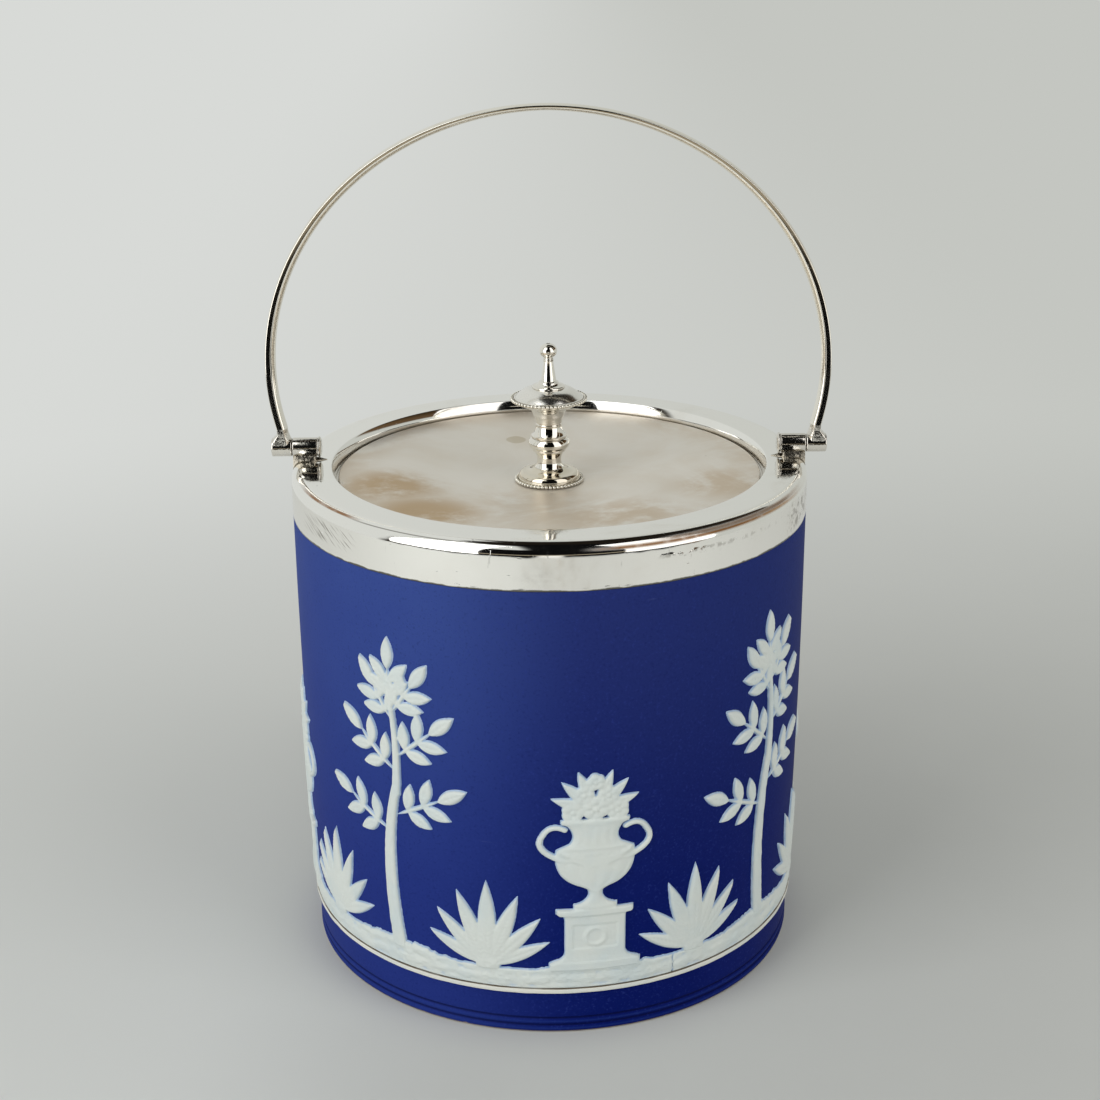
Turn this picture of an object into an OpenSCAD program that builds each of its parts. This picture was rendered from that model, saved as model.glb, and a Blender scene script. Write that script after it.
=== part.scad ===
// Covered biscuit jar: a stoneware jar with applied relief, a plated collar with a swing handle,
// and a lift-off lid with a turned knob. Millimetres, +Z up. The origin is the centre of the foot,
// the handle's pivots lie along X, and the front of the jar faces -Y.

/* [Jar] */
// Radius of the jar at its widest, which the collar continues
jar_r = 66; // [60:0.5:75]
// How much smaller the radius is at the foot
foot_inset = 1.8; // [0.4:0.1:3]
// Height at which the taper ends and the wall stands upright
taper_h = 100; // [70:1:110]
// Height of the ledge that carries the collar
ledge_h = 118; // [112:0.5:140]
// Height of the set-in neck above the ledge
neck_h = 8; // [5:0.25:9]
// Thickness of the wall, measured at the widest place
wall_t = 5.5; // [4:0.25:7]
// Thickness of the floor above the recess
floor_t = 5; // [3:0.5:9]
// Radius of the cove between the wall and the floor, inside
cove_r = 6; // [2:0.5:10]
// Depth of the recess under the floor
recess_d = 1.6; // [0.8:0.1:3]
// Width of the foot ring round the recess
foot_ring_w = 7; // [4:0.5:12]
// Height of each of the two turned beads at the foot
foot_bead_h = 2; // [1:0.1:3]
// How far the turned beads stand out of the wall
foot_bead_d = 0.45; // [0.2:0.05:0.9]

/* [Relief] */
// Height of the plain fillet's lower edge
fillet_z = 11.6; // [8:0.2:16]
// Height of the plain fillet
fillet_h = 1.4; // [0.8:0.1:3]
// Height of the ground strip that the sprigs stand on
ground_h = 5.6; // [4:0.2:10]
// Half the width of the low mounds under the urns
mound_w = 15; // [8:0.5:20]
// Half the width of the low mounds under the trees
tree_mound_w = 17; // [8:0.5:20]
// Height of the mounds
mound_h = 2; // [1:0.1:4]
// How far the ground strip and fillet stand out of the wall
ground_t = 0.9; // [0.5:0.1:1.5]
// How far the sprigs stand out of the wall
sprig_t = 1.2; // [0.6:0.1:1.6]
// Number of urns, and of trees, round the jar
sprig_count = 4; // [3:1:4]
// Turn of the first urn from the front
sprig_turn = 9; // [-20:1:20]
// Height of an urn with its pedestal and flowers
urn_h = 54; // [35:1:60]
// Height of a tree
tree_h = 84; // [50:1:88]
// Height of a low plant
plant_h = 24; // [15:1:30]
// Distance of a plant from the nearest urn, as a share of that between two urns
plant_place = 0.26; // [0.24:0.01:0.3]

/* [Collar] */
// Thickness of the plated sheet
sheet_t = 0.8; // [0.5:0.05:1]
// Thickness of the plaster bed between the neck and the collar
bed_t = 0.6; // [0.3:0.05:1]
// Height of the collar, from the ledge to the top of the flange
collar_h = 11.6; // [10.5:0.1:15]
// Radius of the rounded shoulder
shoulder_r = 3.1; // [1.5:0.1:3.6]
// Width of the flange and shoulder, from the outside to the lip
flange_w = 11.2; // [9:0.1:16]
// Fall of the flange from the shoulder to the lip
flange_fall = 0; // [0:0.1:1.2]
// Radius of the rolled edge of the lip
lip_roll = 1; // [0.9:0.05:1.5]

/* [Lid] */
// Depth of the lid plate's edge below the lip
lid_recess = 2.9; // [1.5:0.1:4]
// Thickness of the lid plate
plate_t = 0.9; // [0.6:0.1:1.5]
// How far the middle of the lid is dished
lid_dish = 3.1; // [0:0.1:4]
// Gap round the lid plate inside the lip
lid_gap = 0.7; // [0.3:0.05:1.2]
// Width of the seat inside the lip
seat_w = 2.6; // [1.5:0.1:4]
// Gap between the seat and the lid's skirt
skirt_gap = 0.5; // [0.3:0.05:1]
// Depth of the lid's skirt
skirt_h = 4.5; // [2:0.25:8]
// Width of the flat by which the skirt is soldered to the plate
skirt_flat_w = 1.5; // [0.8:0.1:3]

/* [Knob] */
// Radius of the foot disc inside its beading
knob_foot_r = 8; // [6.5:0.1:11]
// Height of the foot
knob_foot_h = 3.7; // [2.5:0.1:6]
// Radius of the narrowest place of the upper stem
stem_r = 3.3; // [2.8:0.1:4]
// Radius of the narrowest place of the lower stem
low_stem_r = 3.1; // [2.6:0.1:3.6]
// Height of the lower stem
lower_stem_h = 5; // [3:0.1:8]
// Radius of the ring between the stems
ring_r = 5.3; // [5.1:0.1:7]
// Height of the ring between the stems
ring_h = 3; // [1.5:0.1:5]
// Height of the upper stem
upper_stem_h = 5.7; // [3:0.1:9]
// Radius of the saucer inside its beading
saucer_r = 8.9; // [8:0.1:12]
// Height of the saucer
saucer_h = 7.3; // [6.6:0.1:9]
// Radius of one bead of the beaded rims
bead_r = 0.5; // [0.4:0.02:0.7]
// Height of the finial
finial_h = 11.4; // [9:0.1:16]
// Largest radius of the finial's ball
ball_r = 2.25; // [1.6:0.05:3]
// Radius of the threaded stud through the knob
stud_r = 1.2; // [0.8:0.05:1.4]
// Clearance round the stud
stud_clear = 0.06; // [0.03:0.01:0.15]
// How far the stud reaches into the finial
stud_reach = 3; // [1.5:0.25:3.5]
// Radius of the washer under the plate
washer_r = 4; // [3:0.25:6]
// Thickness of the washer
washer_t = 0.6; // [0.3:0.1:1.5]
// Width of the nut across its flats
nut_af = 5; // [4:0.25:7]
// Height of the nut
nut_h = 1.8; // [1.2:0.1:3]

/* [Handle] */
// Height of the pivots above the flange's shoulder
pivot_h = 3.45; // [3.1:0.05:6]
// Outside radius of the hinge barrels and knuckles
barrel_r = 2.4; // [2:0.05:3]
// Length of a fixed barrel
barrel_l = 6.3; // [4:0.1:9]
// Length of a knuckle
knuckle_l = 5.2; // [4.2:0.1:8]
// Inset of the gap between barrel and knuckle from the jar's side
hinge_inset = 0.3; // [0:0.05:1]
// Gap between barrel and knuckle
hinge_gap = 0.2; // [0.1:0.05:0.5]
// Radius of the pivot pins
pin_r = 1.2; // [0.8:0.05:1.4]
// Clearance round a pin in its fixed barrel
pin_clear = 0.06; // [0.03:0.01:0.1]
// Radius of a pin's head
pin_head_r = 2.65; // [2:0.05:3]
// Thickness of a pin's head
pin_head_t = 0.7; // [0.4:0.05:1.2]
// Length of a lug's foot
lug_l = 8.6; // [7:0.1:10]
// Width of a lug's foot
lug_w = 5.2; // [4:0.1:7]
// Height of a lug's foot at its edge
lug_t = 0.7; // [0.4:0.05:0.9]
// Width of the saddle that holds a barrel
saddle_w = 2.8; // [2:0.1:4.6]
// Height of the handle's middle line above the pivots
bail_rise = 84.9; // [75:0.1:110]
// Height above the pivots at which the handle is widest
belly_h = 20.6; // [12:0.2:30]
// Height of the flared root on a knuckle, above the pivots
root_h = 5.2; // [4:0.1:8]
// Width of the strap at the top, front to back
strap_top_w = 6; // [4:0.1:7]
// Width of the strap at its roots, front to back
strap_root_w = 4.6; // [3:0.1:6]
// Thickness of the strap at the top
strap_top_t = 2.7; // [1.8:0.1:4]
// Thickness of the strap at its roots
strap_root_t = 3.7; // [2.5:0.1:5]

/* [Hidden] */
$fn = 96;
ARC_STEPS = 8;
EPS = 0.01;

// Jar
bore_r = jar_r - wall_t;
floor_z = recess_d + floor_t;
rim_z = ledge_h + neck_h;
neck_r = jar_r - sheet_t - bed_t;
foot_z = 2 * foot_bead_h;
function wall_r(z) = jar_r - foot_inset * pow(max(0, 1 - z / taper_h), 2);
wall_knots = [for (z = [foot_z, 16, 34, 56, 80]) if (z < taper_h - 4) z, taper_h];

// Collar and lid seat
collar_top = ledge_h + collar_h;
lip_r = jar_r - flange_w;
lip_top = collar_top - flange_fall;
lip_bottom = lip_top - lid_recess - plate_t;
seat_r = lip_r - seat_w;
seat_ring_t = sheet_t;

// Lid and knob
plate_r = lip_r - lid_gap;
skirt_r = seat_r - skirt_gap;
skirt_flat_r = skirt_r - sheet_t - skirt_flat_w;
lid_z = lip_bottom + plate_t - lid_dish;
bore_knob = stud_r + stud_clear;
lower_stem_z = lid_z + knob_foot_h;
ring_z = lower_stem_z + lower_stem_h;
upper_stem_z = ring_z + ring_h;
saucer_z = upper_stem_z + upper_stem_h;
finial_z = saucer_z + saucer_h;
washer_z = lid_z - plate_t - washer_t;
nut_z = washer_z - nut_h;
stud_end = 0.8;
dish_in_r = knob_foot_r + 2 * bead_r + 1;
joint_r = stem_r + 1;

// Handle
pivot_z = collar_top + pivot_h;
barrel_out = jar_r - hinge_inset;
barrel_in = barrel_out - barrel_l;
knuckle_in = barrel_out + hinge_gap;
knuckle_x = knuckle_in + knuckle_l / 2;
bail_b = bail_rise - belly_h;
root_angle = asin((root_h - belly_h) / bail_b);
bail_a = knuckle_x / cos(root_angle);

// Points of an arc round c, from angle a0 to a1.
function arc(c, r, a0, a1, n = ARC_STEPS) =
    [for (i = [0:n]) let (a = a0 + (a1 - a0) * i / n) c + r * [cos(a), sin(a)]];

// Points of a quadratic curve that leaves p0 towards p1 and arrives at p2.
function curve(p0, p1, p2, n = ARC_STEPS) =
    [for (i = [0:n]) let (t = i / n) (1 - t) * (1 - t) * p0 + 2 * t * (1 - t) * p1 + t * t * p2];

function reversed(points) = [for (i = [len(points) - 1:-1:0]) points[i]];

// ---- Jar ----

function foot_bead(z) = let (r = wall_r(foot_z), d = foot_bead_d, h = foot_bead_h)
    curve([r - d / 2, z], [r + d, z + h / 2], [r - d / 2, z + h], 6);

module jar_body() {
    color("midnightblue")
    rotate_extrude() polygon(concat(
        [[0, recess_d], [wall_r(0) - foot_ring_w - 1, recess_d], [wall_r(0) - foot_ring_w, 0]],
        foot_bead(0),
        foot_bead(foot_bead_h),
        [for (z = wall_knots) [wall_r(z), z]],
        [[jar_r, ledge_h], [neck_r, ledge_h], [neck_r, rim_z - 1], [neck_r - 1, rim_z]],
        [[bore_r + 1, rim_z], [bore_r, rim_z - 1]],
        arc([bore_r - foot_inset - cove_r, floor_z + cove_r], cove_r, 0, -90),
        [[0, floor_z]]
    ));
}

// ---- Relief ----

// Shell of thickness t round the wall, between two heights.
module wall_shell(t, z0, z1) {
    knots = concat([z0], [for (z = wall_knots) if (z > z0 + EPS && z < z1 - EPS) z], [z1]);
    rotate_extrude() polygon(concat(
        [for (z = knots) [wall_r_flat(z), z]],
        reversed([for (z = knots) [wall_r_flat(z) + t, z]])
    ));
}

// Radius of the wall as it is built, straight between its knots.
function wall_r_flat(z) = lookup(z, [for (k = wall_knots) [k, wall_r(k)]]);

// Flat outline, in x along the wall and y up from the ground, pressed through a shell at one angle.
module sprig(angle, t, h, sunk = 0) {
    intersection() {
        wall_shell(t, ground_z - sunk, min(ground_z + h + 2, ledge_h - 1));
        rotate([0, 0, angle - 90]) translate([0, 0, ground_z]) rotate([90, 0, 0]) translate([0, 0, jar_r / 2])
            linear_extrude(jar_r) children();
    }
}

fillet_top = fillet_z + fillet_h;
ground_z = fillet_top + ground_h;

module relief_fillet() {
    color("aliceblue") wall_shell(ground_t, fillet_z, fillet_top);
}

// The ground strip swells into low mounds, which the urns and the trees stand on.
module mound_outline(w) {
    polygon(concat(
        [[-w, -ground_h / 2]], curve([-w, 0], [0, 2 * mound_h], [w, 0], 8), [[w, -ground_h / 2]]
    ));
}

module relief_ground() {
    color("aliceblue") {
        wall_shell(ground_t, fillet_top, ground_z);
        for (i = [0:sprig_count - 1]) {
            sprig(front + i * sector, ground_t, mound_h, 1) mound_outline(mound_w);
            sprig(front + (i + 0.5) * sector, ground_t, mound_h, 1) mound_outline(tree_mound_w);
        }
    }
}

function mirrored(half) = concat(half, [for (p = reversed(half)) [-p[0], p[1]]]);

// Leaf with two curved sides, from the origin along +y.
module leaf(l, w) {
    polygon(mirrored(curve([0, 0], [w, l * 0.45], [0, l], 4)));
}

// Band along a quadratic curve, of half width w0 where it starts and w1 where it ends.
module band(p0, p1, p2, w0, w1, n = 6) {
    c = curve(p0, p1, p2, n);
    side = [for (i = [0:n]) let (t = i / n, d = (1 - t) * (p1 - p0) + t * (p2 - p1))
        (w0 + (w1 - w0) * t) * [-d[1], d[0]] / norm(d)];
    polygon(concat([for (i = [0:n]) c[i] + side[i]], [for (i = [n:-1:0]) c[i] - side[i]]));
}

// Pedestal, two-handled vase and bunch of flowers, drawn at a height of 54.
module urn_outline() {
    half = concat(
        [[11, 0], [11, 1.6], [10, 2.2]], curve([9.6, 2.4], [7.6, 2.8], [7.4, 4.6], 3),
        [[7.4, 13.6]], curve([7.6, 14.8], [8.8, 14.8], [9.2, 15.4], 3), [[9.2, 16.8], [5.4, 16.8], [5.4, 18.2]],
        curve([4.2, 18.4], [1.2, 19.6], [1.9, 22], 4),
        curve([3.4, 22.8], [10.8, 25], [9.6, 33.2], 6),
        curve([6.4, 34.8], [4.6, 37], [7, 39.6], 4),
        [[8.4, 40], [8.4, 41.4]]
    );
    scale(urn_h / 54) {
        polygon(mirrored(half));
        for (s = [-1, 1]) {
            band([s * 8.6, 30.6], [s * 15.6, 33.4], [s * 12.4, 37.4], 0.8, 0.7);
            band([s * 12.6, 37.2], [s * 10.8, 40.4], [s * 7.4, 38.6], 0.7, 0.7);
        }
        for (p = [[-5.4, 43.2, 2.9], [0, 44, 3.4], [5.4, 43.2, 2.9], [-2.9, 47.6, 2.7], [3.1, 47.4, 2.7], [0, 51, 2.3]])
            translate([p[0], p[1]]) circle(p[2], $fn = 20);
        for (a = [-72, -46, -22, 22, 46, 72]) translate([0, 43.4]) rotate(-a) leaf(11.4, 3.2);
    }
}

// Twig with leaves in pairs and one at its tip, along +y.
module twig(l) {
    leaf(l + 2, 1.3);
    for (s = [-1, 1]) {
        translate([0, l * 0.3]) rotate(s * 54) leaf(7.4, 3.4);
        translate([0, l * 0.66]) rotate(s * 46) leaf(7.8, 3.4);
    }
    translate([0, l]) leaf(8.4, 3.6);
}

// Leafy tree with a bent trunk, drawn at a height of 80.
module tree_outline() {
    scale(tree_h / 80) {
        band([0, -1], [-4, 24], [1, 42], 2.1, 1.3);
        band([1, 41], [2.4, 54], [0, 66], 1.3, 0.6);
        for (b = [[-0.8, 30, 66, 14], [0.6, 35, -62, 13], [1.3, 46, 52, 13], [1.3, 50, -50, 12],
                  [0.8, 59, 34, 9], [0.6, 61, -36, 9]])
            translate([b[0], b[1]]) rotate(b[2]) twig(b[3]);
        translate([0, 63]) twig(8.6);
    }
}

// Low plant with leaves in a fan, drawn at a height of 25.
module plant_outline() {
    scale(plant_h / 25) {
        for (a = [-64, -43, -21, 0, 21, 43, 64]) rotate(-a) leaf(25 - abs(a) * 0.11, 5 - abs(a) * 0.018);
        intersection() {
            circle(3.4, $fn = 24);
            translate([-4, 0]) square(8);
        }
    }
}

sector = 360 / sprig_count;
front = -90 + sprig_turn;

module relief_urns() {
    color("aliceblue")
    for (i = [0:sprig_count - 1]) sprig(front + i * sector, sprig_t, urn_h)
        difference() { urn_outline(); mound_outline(mound_w); }
}

module relief_trees() {
    color("aliceblue")
    for (i = [0:sprig_count - 1]) sprig(front + (i + 0.5) * sector, sprig_t, tree_h)
        difference() { tree_outline(); mound_outline(tree_mound_w); }
}

module relief_plants() {
    color("aliceblue")
    for (i = [0:sprig_count - 1], s = [-1, 1])
        sprig(front + (i + plant_place * s) * sector, sprig_t, plant_h) plant_outline();
}

// ---- Collar ----

// Section of the collar as if it were solid, with every face moved in by o and both walls run down to z0.
module collar_section(o, z0, z_lip) {
    c_out = [jar_r - shoulder_r, collar_top - shoulder_r];
    c_in = [lip_r + lip_roll, lip_top - lip_roll];
    d = c_out - c_in;
    slope = atan2(d[1], d[0]) + acos((lip_roll - shoulder_r) / norm(d));
    polygon(concat(
        [[jar_r - o, z0]],
        arc(c_out, shoulder_r - o, 0, slope, 10),
        arc(c_in, lip_roll - o, slope, 180, 6),
        [[lip_r + o, z_lip], [jar_r - shoulder_r, z_lip], [jar_r - shoulder_r, z0]]
    ));
}

module collar() {
    color("silver")
    rotate_extrude() difference() {
        collar_section(0, ledge_h, lip_bottom);
        collar_section(sheet_t, ledge_h - 1, lip_bottom - 1);
    }
}

// Plaster between the neck and the collar, and over the jar's rim.
module collar_plaster() {
    color("ivory")
    rotate_extrude() difference() {
        intersection() {
            collar_section(sheet_t, ledge_h, lip_bottom);
            translate([bore_r + 1, ledge_h]) square([wall_t, collar_h]);
        }
        polygon([
            [0, ledge_h - 1], [neck_r, ledge_h - 1], [neck_r, rim_z - 1], [neck_r - 1, rim_z], [0, rim_z]
        ]);
    }
}

module lid_seat_ring() {
    wall_in = lip_r + sheet_t;
    wall_out = wall_in + seat_ring_t;
    color("silver")
    rotate_extrude() polygon([
        [seat_r, lip_bottom - seat_ring_t], [wall_out, lip_bottom - seat_ring_t],
        [wall_out, lip_bottom + lid_recess / 2], [wall_in, lip_bottom + lid_recess / 2],
        [wall_in, lip_bottom], [seat_r, lip_bottom]
    ]);
}

// ---- Hinge lugs, made on the +X side ----

module along_x(x0, x1, r, z = pivot_z) {
    translate([x0, 0, z]) rotate([0, 90, 0]) cylinder(h = x1 - x0, r = r);
}

// Pointed leaf outline of a foot, from its tip inwards to the shoulder.
module lug_outline() {
    half = curve([-lug_l, 0], [-lug_l * 0.5, lug_w / 2], [0, lug_w / 2], 6);
    polygon(concat(half, [for (p = reversed(half)) [p[0], -p[1]]]));
}

module lug_foot() {
    top = pivot_z - barrel_r * 0.35;
    difference() {
        union() {
            translate([barrel_out, 0, lip_bottom]) linear_extrude(collar_top + lug_t - lip_bottom) lug_outline();
            translate([barrel_in + pin_head_t, -saddle_w / 2, lip_bottom])
                cube([barrel_l - pin_head_t, saddle_w, top - lip_bottom]);
        }
        along_x(barrel_in - lug_l, barrel_out + 1, barrel_r);
        rotate_extrude() collar_section(0, ledge_h, lip_bottom - 1);
        translate([0, 0, lip_bottom - 1]) cylinder(h = 2, r = jar_r - shoulder_r + EPS);
    }
}

module lug_barrel() {
    difference() {
        along_x(barrel_in, barrel_out, barrel_r);
        along_x(barrel_in - 1, barrel_out + 1, pin_r + pin_clear);
    }
}

module pivot_pin() {
    along_x(barrel_in - hinge_gap - pin_head_t, barrel_in - hinge_gap, pin_head_r);
    along_x(barrel_in - hinge_gap - EPS, knuckle_in + knuckle_l * 0.8, pin_r);
}

// The knuckle's root flares from the barrel to the strap.
module knuckle() {
    top_half = strap_root_t / 2;
    half = concat(
        [[0, 0], [knuckle_l / 2, 0], [knuckle_l / 2, barrel_r * 0.8]],
        curve([knuckle_l / 2 - 0.1, barrel_r * 0.95], [top_half, barrel_r + 0.6], [top_half, root_h], 5),
        [[0, root_h]]
    );
    difference() {
        union() {
            along_x(knuckle_in, knuckle_in + knuckle_l, barrel_r);
            translate([knuckle_x, strap_root_w / 2, pivot_z]) rotate([90, 0, 0]) linear_extrude(strap_root_w)
                polygon(concat(half, [for (p = reversed(half)) [-p[0], p[1]]]));
        }
        along_x(knuckle_in - 1, knuckle_in + knuckle_l * 0.8, pin_r);
    }
}

module left_lug_foot() { color("silver") mirror([1, 0, 0]) lug_foot(); }
module right_lug_foot() { color("silver") lug_foot(); }
module left_lug_barrel() { color("silver") mirror([1, 0, 0]) lug_barrel(); }
module right_lug_barrel() { color("silver") lug_barrel(); }
module left_knuckle() { color("silver") mirror([1, 0, 0]) knuckle(); }
module right_knuckle() { color("silver") knuckle(); }
module left_pivot_pin() { color("gray") mirror([1, 0, 0]) pivot_pin(); }
module right_pivot_pin() { color("gray") pivot_pin(); }

// ---- Handle ----

// The strap is swept along an upright ellipse. Its outside is a low crown that meets the round inside in
// an edge, and it grows narrower and thicker towards its roots.
RINGS = 56;
SIDES = 20;
function bail_angle(i) = root_angle + (180 - 2 * root_angle) * i / RINGS;
function bail_point(a) = [bail_a * cos(a), 0, pivot_z + belly_h + bail_b * sin(a)];
function bail_normal(a) = let (n = [bail_b * cos(a), 0, bail_a * sin(a)]) n / norm(n);
// From 0 at the roots to 1 at the top.
function climb(a) = pow(max(0, (sin(a) - sin(root_angle)) / (1 - sin(root_angle))), 0.45);
function between(root, top, a) = root + (top - root) * climb(a);
// End rings lie level on the knuckles' roots, the others square to the path.
function ring_normal(i) =
    i == 0 ? [1, 0, 0] : i == RINGS ? [-1, 0, 0] : bail_normal(bail_angle(i));
function bail_ring(i) =
    let (
        a = bail_angle(i),
        t = between(strap_root_t, strap_top_t, a),
        w = between(strap_root_w, strap_top_w, a),
        crown = between(0.5, 0.42, a)
    )
    [for (k = [0:SIDES - 1])
        let (q = 360 * k / SIDES, c = cos(q), s = sin(q), h = c > 0 ? crown * (1 - s * s) : (1 - crown) * c)
        bail_point(a) + ring_normal(i) * t * h + [0, w / 2 * s, 0]];

module handle_bail() {
    points = [for (i = [0:RINGS]) each bail_ring(i)];
    last = RINGS * SIDES;
    color("silver")
    polyhedron(points, concat(
        [[for (k = [0:SIDES - 1]) k]],
        [for (i = [0:RINGS - 1], k = [0:SIDES - 1]) let (m = (k + 1) % SIDES)
            [i * SIDES + k, (i + 1) * SIDES + k, (i + 1) * SIDES + m, i * SIDES + m]],
        [[for (k = [SIDES - 1:-1:0]) last + k]]
    ), convexity = 6);
}

// ---- Lid ----

// Height of the lid's dish at radius r, from 0 in the middle to lid_dish at the edge.
function dish(r) = let (s = min(1, max(0, (r - dish_in_r) / (skirt_flat_r - dish_in_r))))
    lid_dish * s * s * (3 - 2 * s);
dish_knots = [for (i = [0:ARC_STEPS]) dish_in_r + (skirt_flat_r - dish_in_r) * i / ARC_STEPS];

module lid_plate() {
    color("lightgray")
    rotate_extrude() polygon(concat(
        [[bore_knob, lid_z - plate_t]],
        [for (r = dish_knots) [r, lid_z - plate_t + dish(r)]],
        [[plate_r, lip_bottom], [plate_r, lip_bottom + plate_t]],
        reversed([for (r = dish_knots) [r, lid_z + dish(r)]]),
        [[bore_knob, lid_z]]
    ));
}

module lid_skirt() {
    color("silver")
    rotate_extrude() polygon([
        [skirt_flat_r, lip_bottom - sheet_t], [skirt_r - sheet_t, lip_bottom - sheet_t],
        [skirt_r - sheet_t, lip_bottom - skirt_h], [skirt_r, lip_bottom - skirt_h],
        [skirt_r, lip_bottom], [skirt_flat_r, lip_bottom]
    ]);
}

// ---- Knob ----

// Turned piece at height z, bored for the stud. The outline runs upward on the outside.
module turned(z, outline) {
    h = outline[len(outline) - 1][1];
    color("silver")
    translate([0, 0, z]) rotate_extrude() polygon(concat(
        [[bore_knob, outline[0][1]]], outline, [[bore_knob, h]]
    ));
}

// Ring of beads on a wire, round radius r at height z.
module beading(r, z) {
    count = floor(PI * r / bead_r);
    color("silver")
    translate([0, 0, z]) {
        rotate_extrude() translate([r, 0]) circle(bead_r * 0.72, $fn = 24);
        for (i = [0:count - 1]) rotate([0, 0, 360 * i / count]) translate([r, 0, 0]) sphere(bead_r, $fn = 24);
    }
}

module knob_foot() {
    rim_h = 2 * bead_r;
    turned(lid_z, concat(
        [[knob_foot_r, 0], [knob_foot_r, rim_h]],
        curve([knob_foot_r - 0.15, rim_h + 0.1], [knob_foot_r - 0.3, knob_foot_h - 1.2],
              [knob_foot_r - 1.2, knob_foot_h - 1.1], 5),
        curve([knob_foot_r - 1.6, knob_foot_h - 1.1], [joint_r + 0.4, knob_foot_h - 1],
              [low_stem_r + 0.75, knob_foot_h], 5)
    ));
}

module knob_foot_beading() {
    beading(knob_foot_r + bead_r, lid_z + bead_r);
}

module knob_lower_stem() {
    h = lower_stem_h;
    turned(lower_stem_z, concat(
        curve([low_stem_r + 0.65, 0], [low_stem_r - 0.75, h * 0.4], [low_stem_r + 0.8, h * 0.84], 6),
        [[joint_r, h * 0.9], [joint_r, h]]
    ));
}

module knob_mid_ring() {
    turned(ring_z, concat(
        [[joint_r, 0]],
        curve([joint_r + 0.4, ring_h * 0.06], [2 * ring_r - joint_r - 0.4, ring_h * 0.45],
              [joint_r + 0.4, ring_h * 0.94], 8),
        [[joint_r, ring_h]]
    ));
}

module knob_upper_stem() {
    h = upper_stem_h;
    turned(upper_stem_z, concat(
        [[joint_r + 0.25, 0], [joint_r + 0.25, h * 0.09]],
        curve([joint_r - 0.1, h * 0.11], [stem_r - 0.1, h * 0.18], [stem_r, h * 0.36], 5),
        [[stem_r + 0.12, h * 0.39], [stem_r + 0.12, h * 0.45]],
        curve([stem_r + 0.02, h * 0.48], [stem_r + 0.15, h * 0.75], [stem_r + 0.65, h], 4)
    ));
}

saucer_rim_z = saucer_h * 0.61;

module knob_saucer() {
    turned(saucer_z, concat(
        curve([stem_r + 0.65, 0], [stem_r + 1, saucer_rim_z - 2.5], [stem_r + 2.6, saucer_rim_z - 2.1], 6),
        curve([stem_r + 2.8, saucer_rim_z - 1.8], [saucer_r - 1.2, saucer_rim_z - 1.4],
              [saucer_r, saucer_rim_z - bead_r * 0.8], 4),
        [[saucer_r, saucer_rim_z + bead_r * 0.8], [saucer_r - 0.3, saucer_rim_z + bead_r * 0.8 + 0.1]],
        curve([saucer_r - 0.45, saucer_rim_z + bead_r * 0.8], [saucer_r - 2.4, saucer_h - 0.1],
              [stem_r + 0.85, saucer_h], 8)
    ));
}

module knob_saucer_beading() {
    beading(saucer_r + bead_r, saucer_z + saucer_rim_z);
}

module knob_finial() {
    neck_z = finial_h - 2 * ball_r * 0.84;
    ball_half = (finial_h - neck_z) / 2;
    neck_r = ball_r * 0.52;
    cone_r = max(ball_r * 0.88, bore_knob + 0.6);
    color("silver")
    translate([0, 0, finial_z]) difference() {
        rotate_extrude() polygon(concat(
            [[0, 0], [stem_r + 0.85, 0], [stem_r + 0.85, 0.35]],
            curve([stem_r + 0.7, 0.55], [cone_r + 1, 0.6], [cone_r + 0.6, 1.2], 4),
            [[cone_r + 0.55, 1.55], [cone_r, 1.7]],
            [[neck_r + 0.06, neck_z - 0.8], [neck_r + 0.25, neck_z - 0.6], [neck_r, neck_z]],
            [for (a = [-60:15:75]) [ball_r * cos(a), neck_z + ball_half * (1 + sin(a))]],
            [[ball_r * 0.2, finial_h], [ball_r * 0.2, finial_h - 0.25], [0, finial_h - 0.25]]
        ));
        translate([0, 0, -1]) cylinder(h = stud_reach + 1.2, r = bore_knob);
    }
}

module knob_stud() {
    color("gray")
    translate([0, 0, nut_z - stud_end]) cylinder(h = finial_z + stud_reach - nut_z + stud_end, r = stud_r);
}

module knob_washer() {
    color("gray")
    translate([0, 0, washer_z]) difference() {
        cylinder(h = washer_t, r = washer_r);
        translate([0, 0, -1]) cylinder(h = washer_t + 2, r = bore_knob);
    }
}

module knob_nut() {
    color("gray")
    translate([0, 0, nut_z]) difference() {
        cylinder(h = nut_h, r = nut_af / 2 / cos(30), $fn = 6);
        translate([0, 0, -1]) cylinder(h = nut_h + 2, r = bore_knob);
    }
}

jar_body();
relief_fillet();
relief_ground();
relief_urns();
relief_trees();
relief_plants();
collar();
collar_plaster();
lid_seat_ring();
left_lug_foot();
right_lug_foot();
left_lug_barrel();
right_lug_barrel();
lid_plate();
lid_skirt();
knob_foot();
knob_foot_beading();
knob_lower_stem();
knob_mid_ring();
knob_upper_stem();
knob_saucer();
knob_saucer_beading();
knob_finial();
knob_stud();
knob_washer();
knob_nut();
handle_bail();
left_knuckle();
right_knuckle();
left_pivot_pin();
right_pivot_pin();
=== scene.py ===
"""Looks of the biscuit jar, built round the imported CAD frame. Lengths are millimetres unless a line says metres."""

import functools
import math

import bpy
import numpy as np
from mathutils import Matrix


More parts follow.
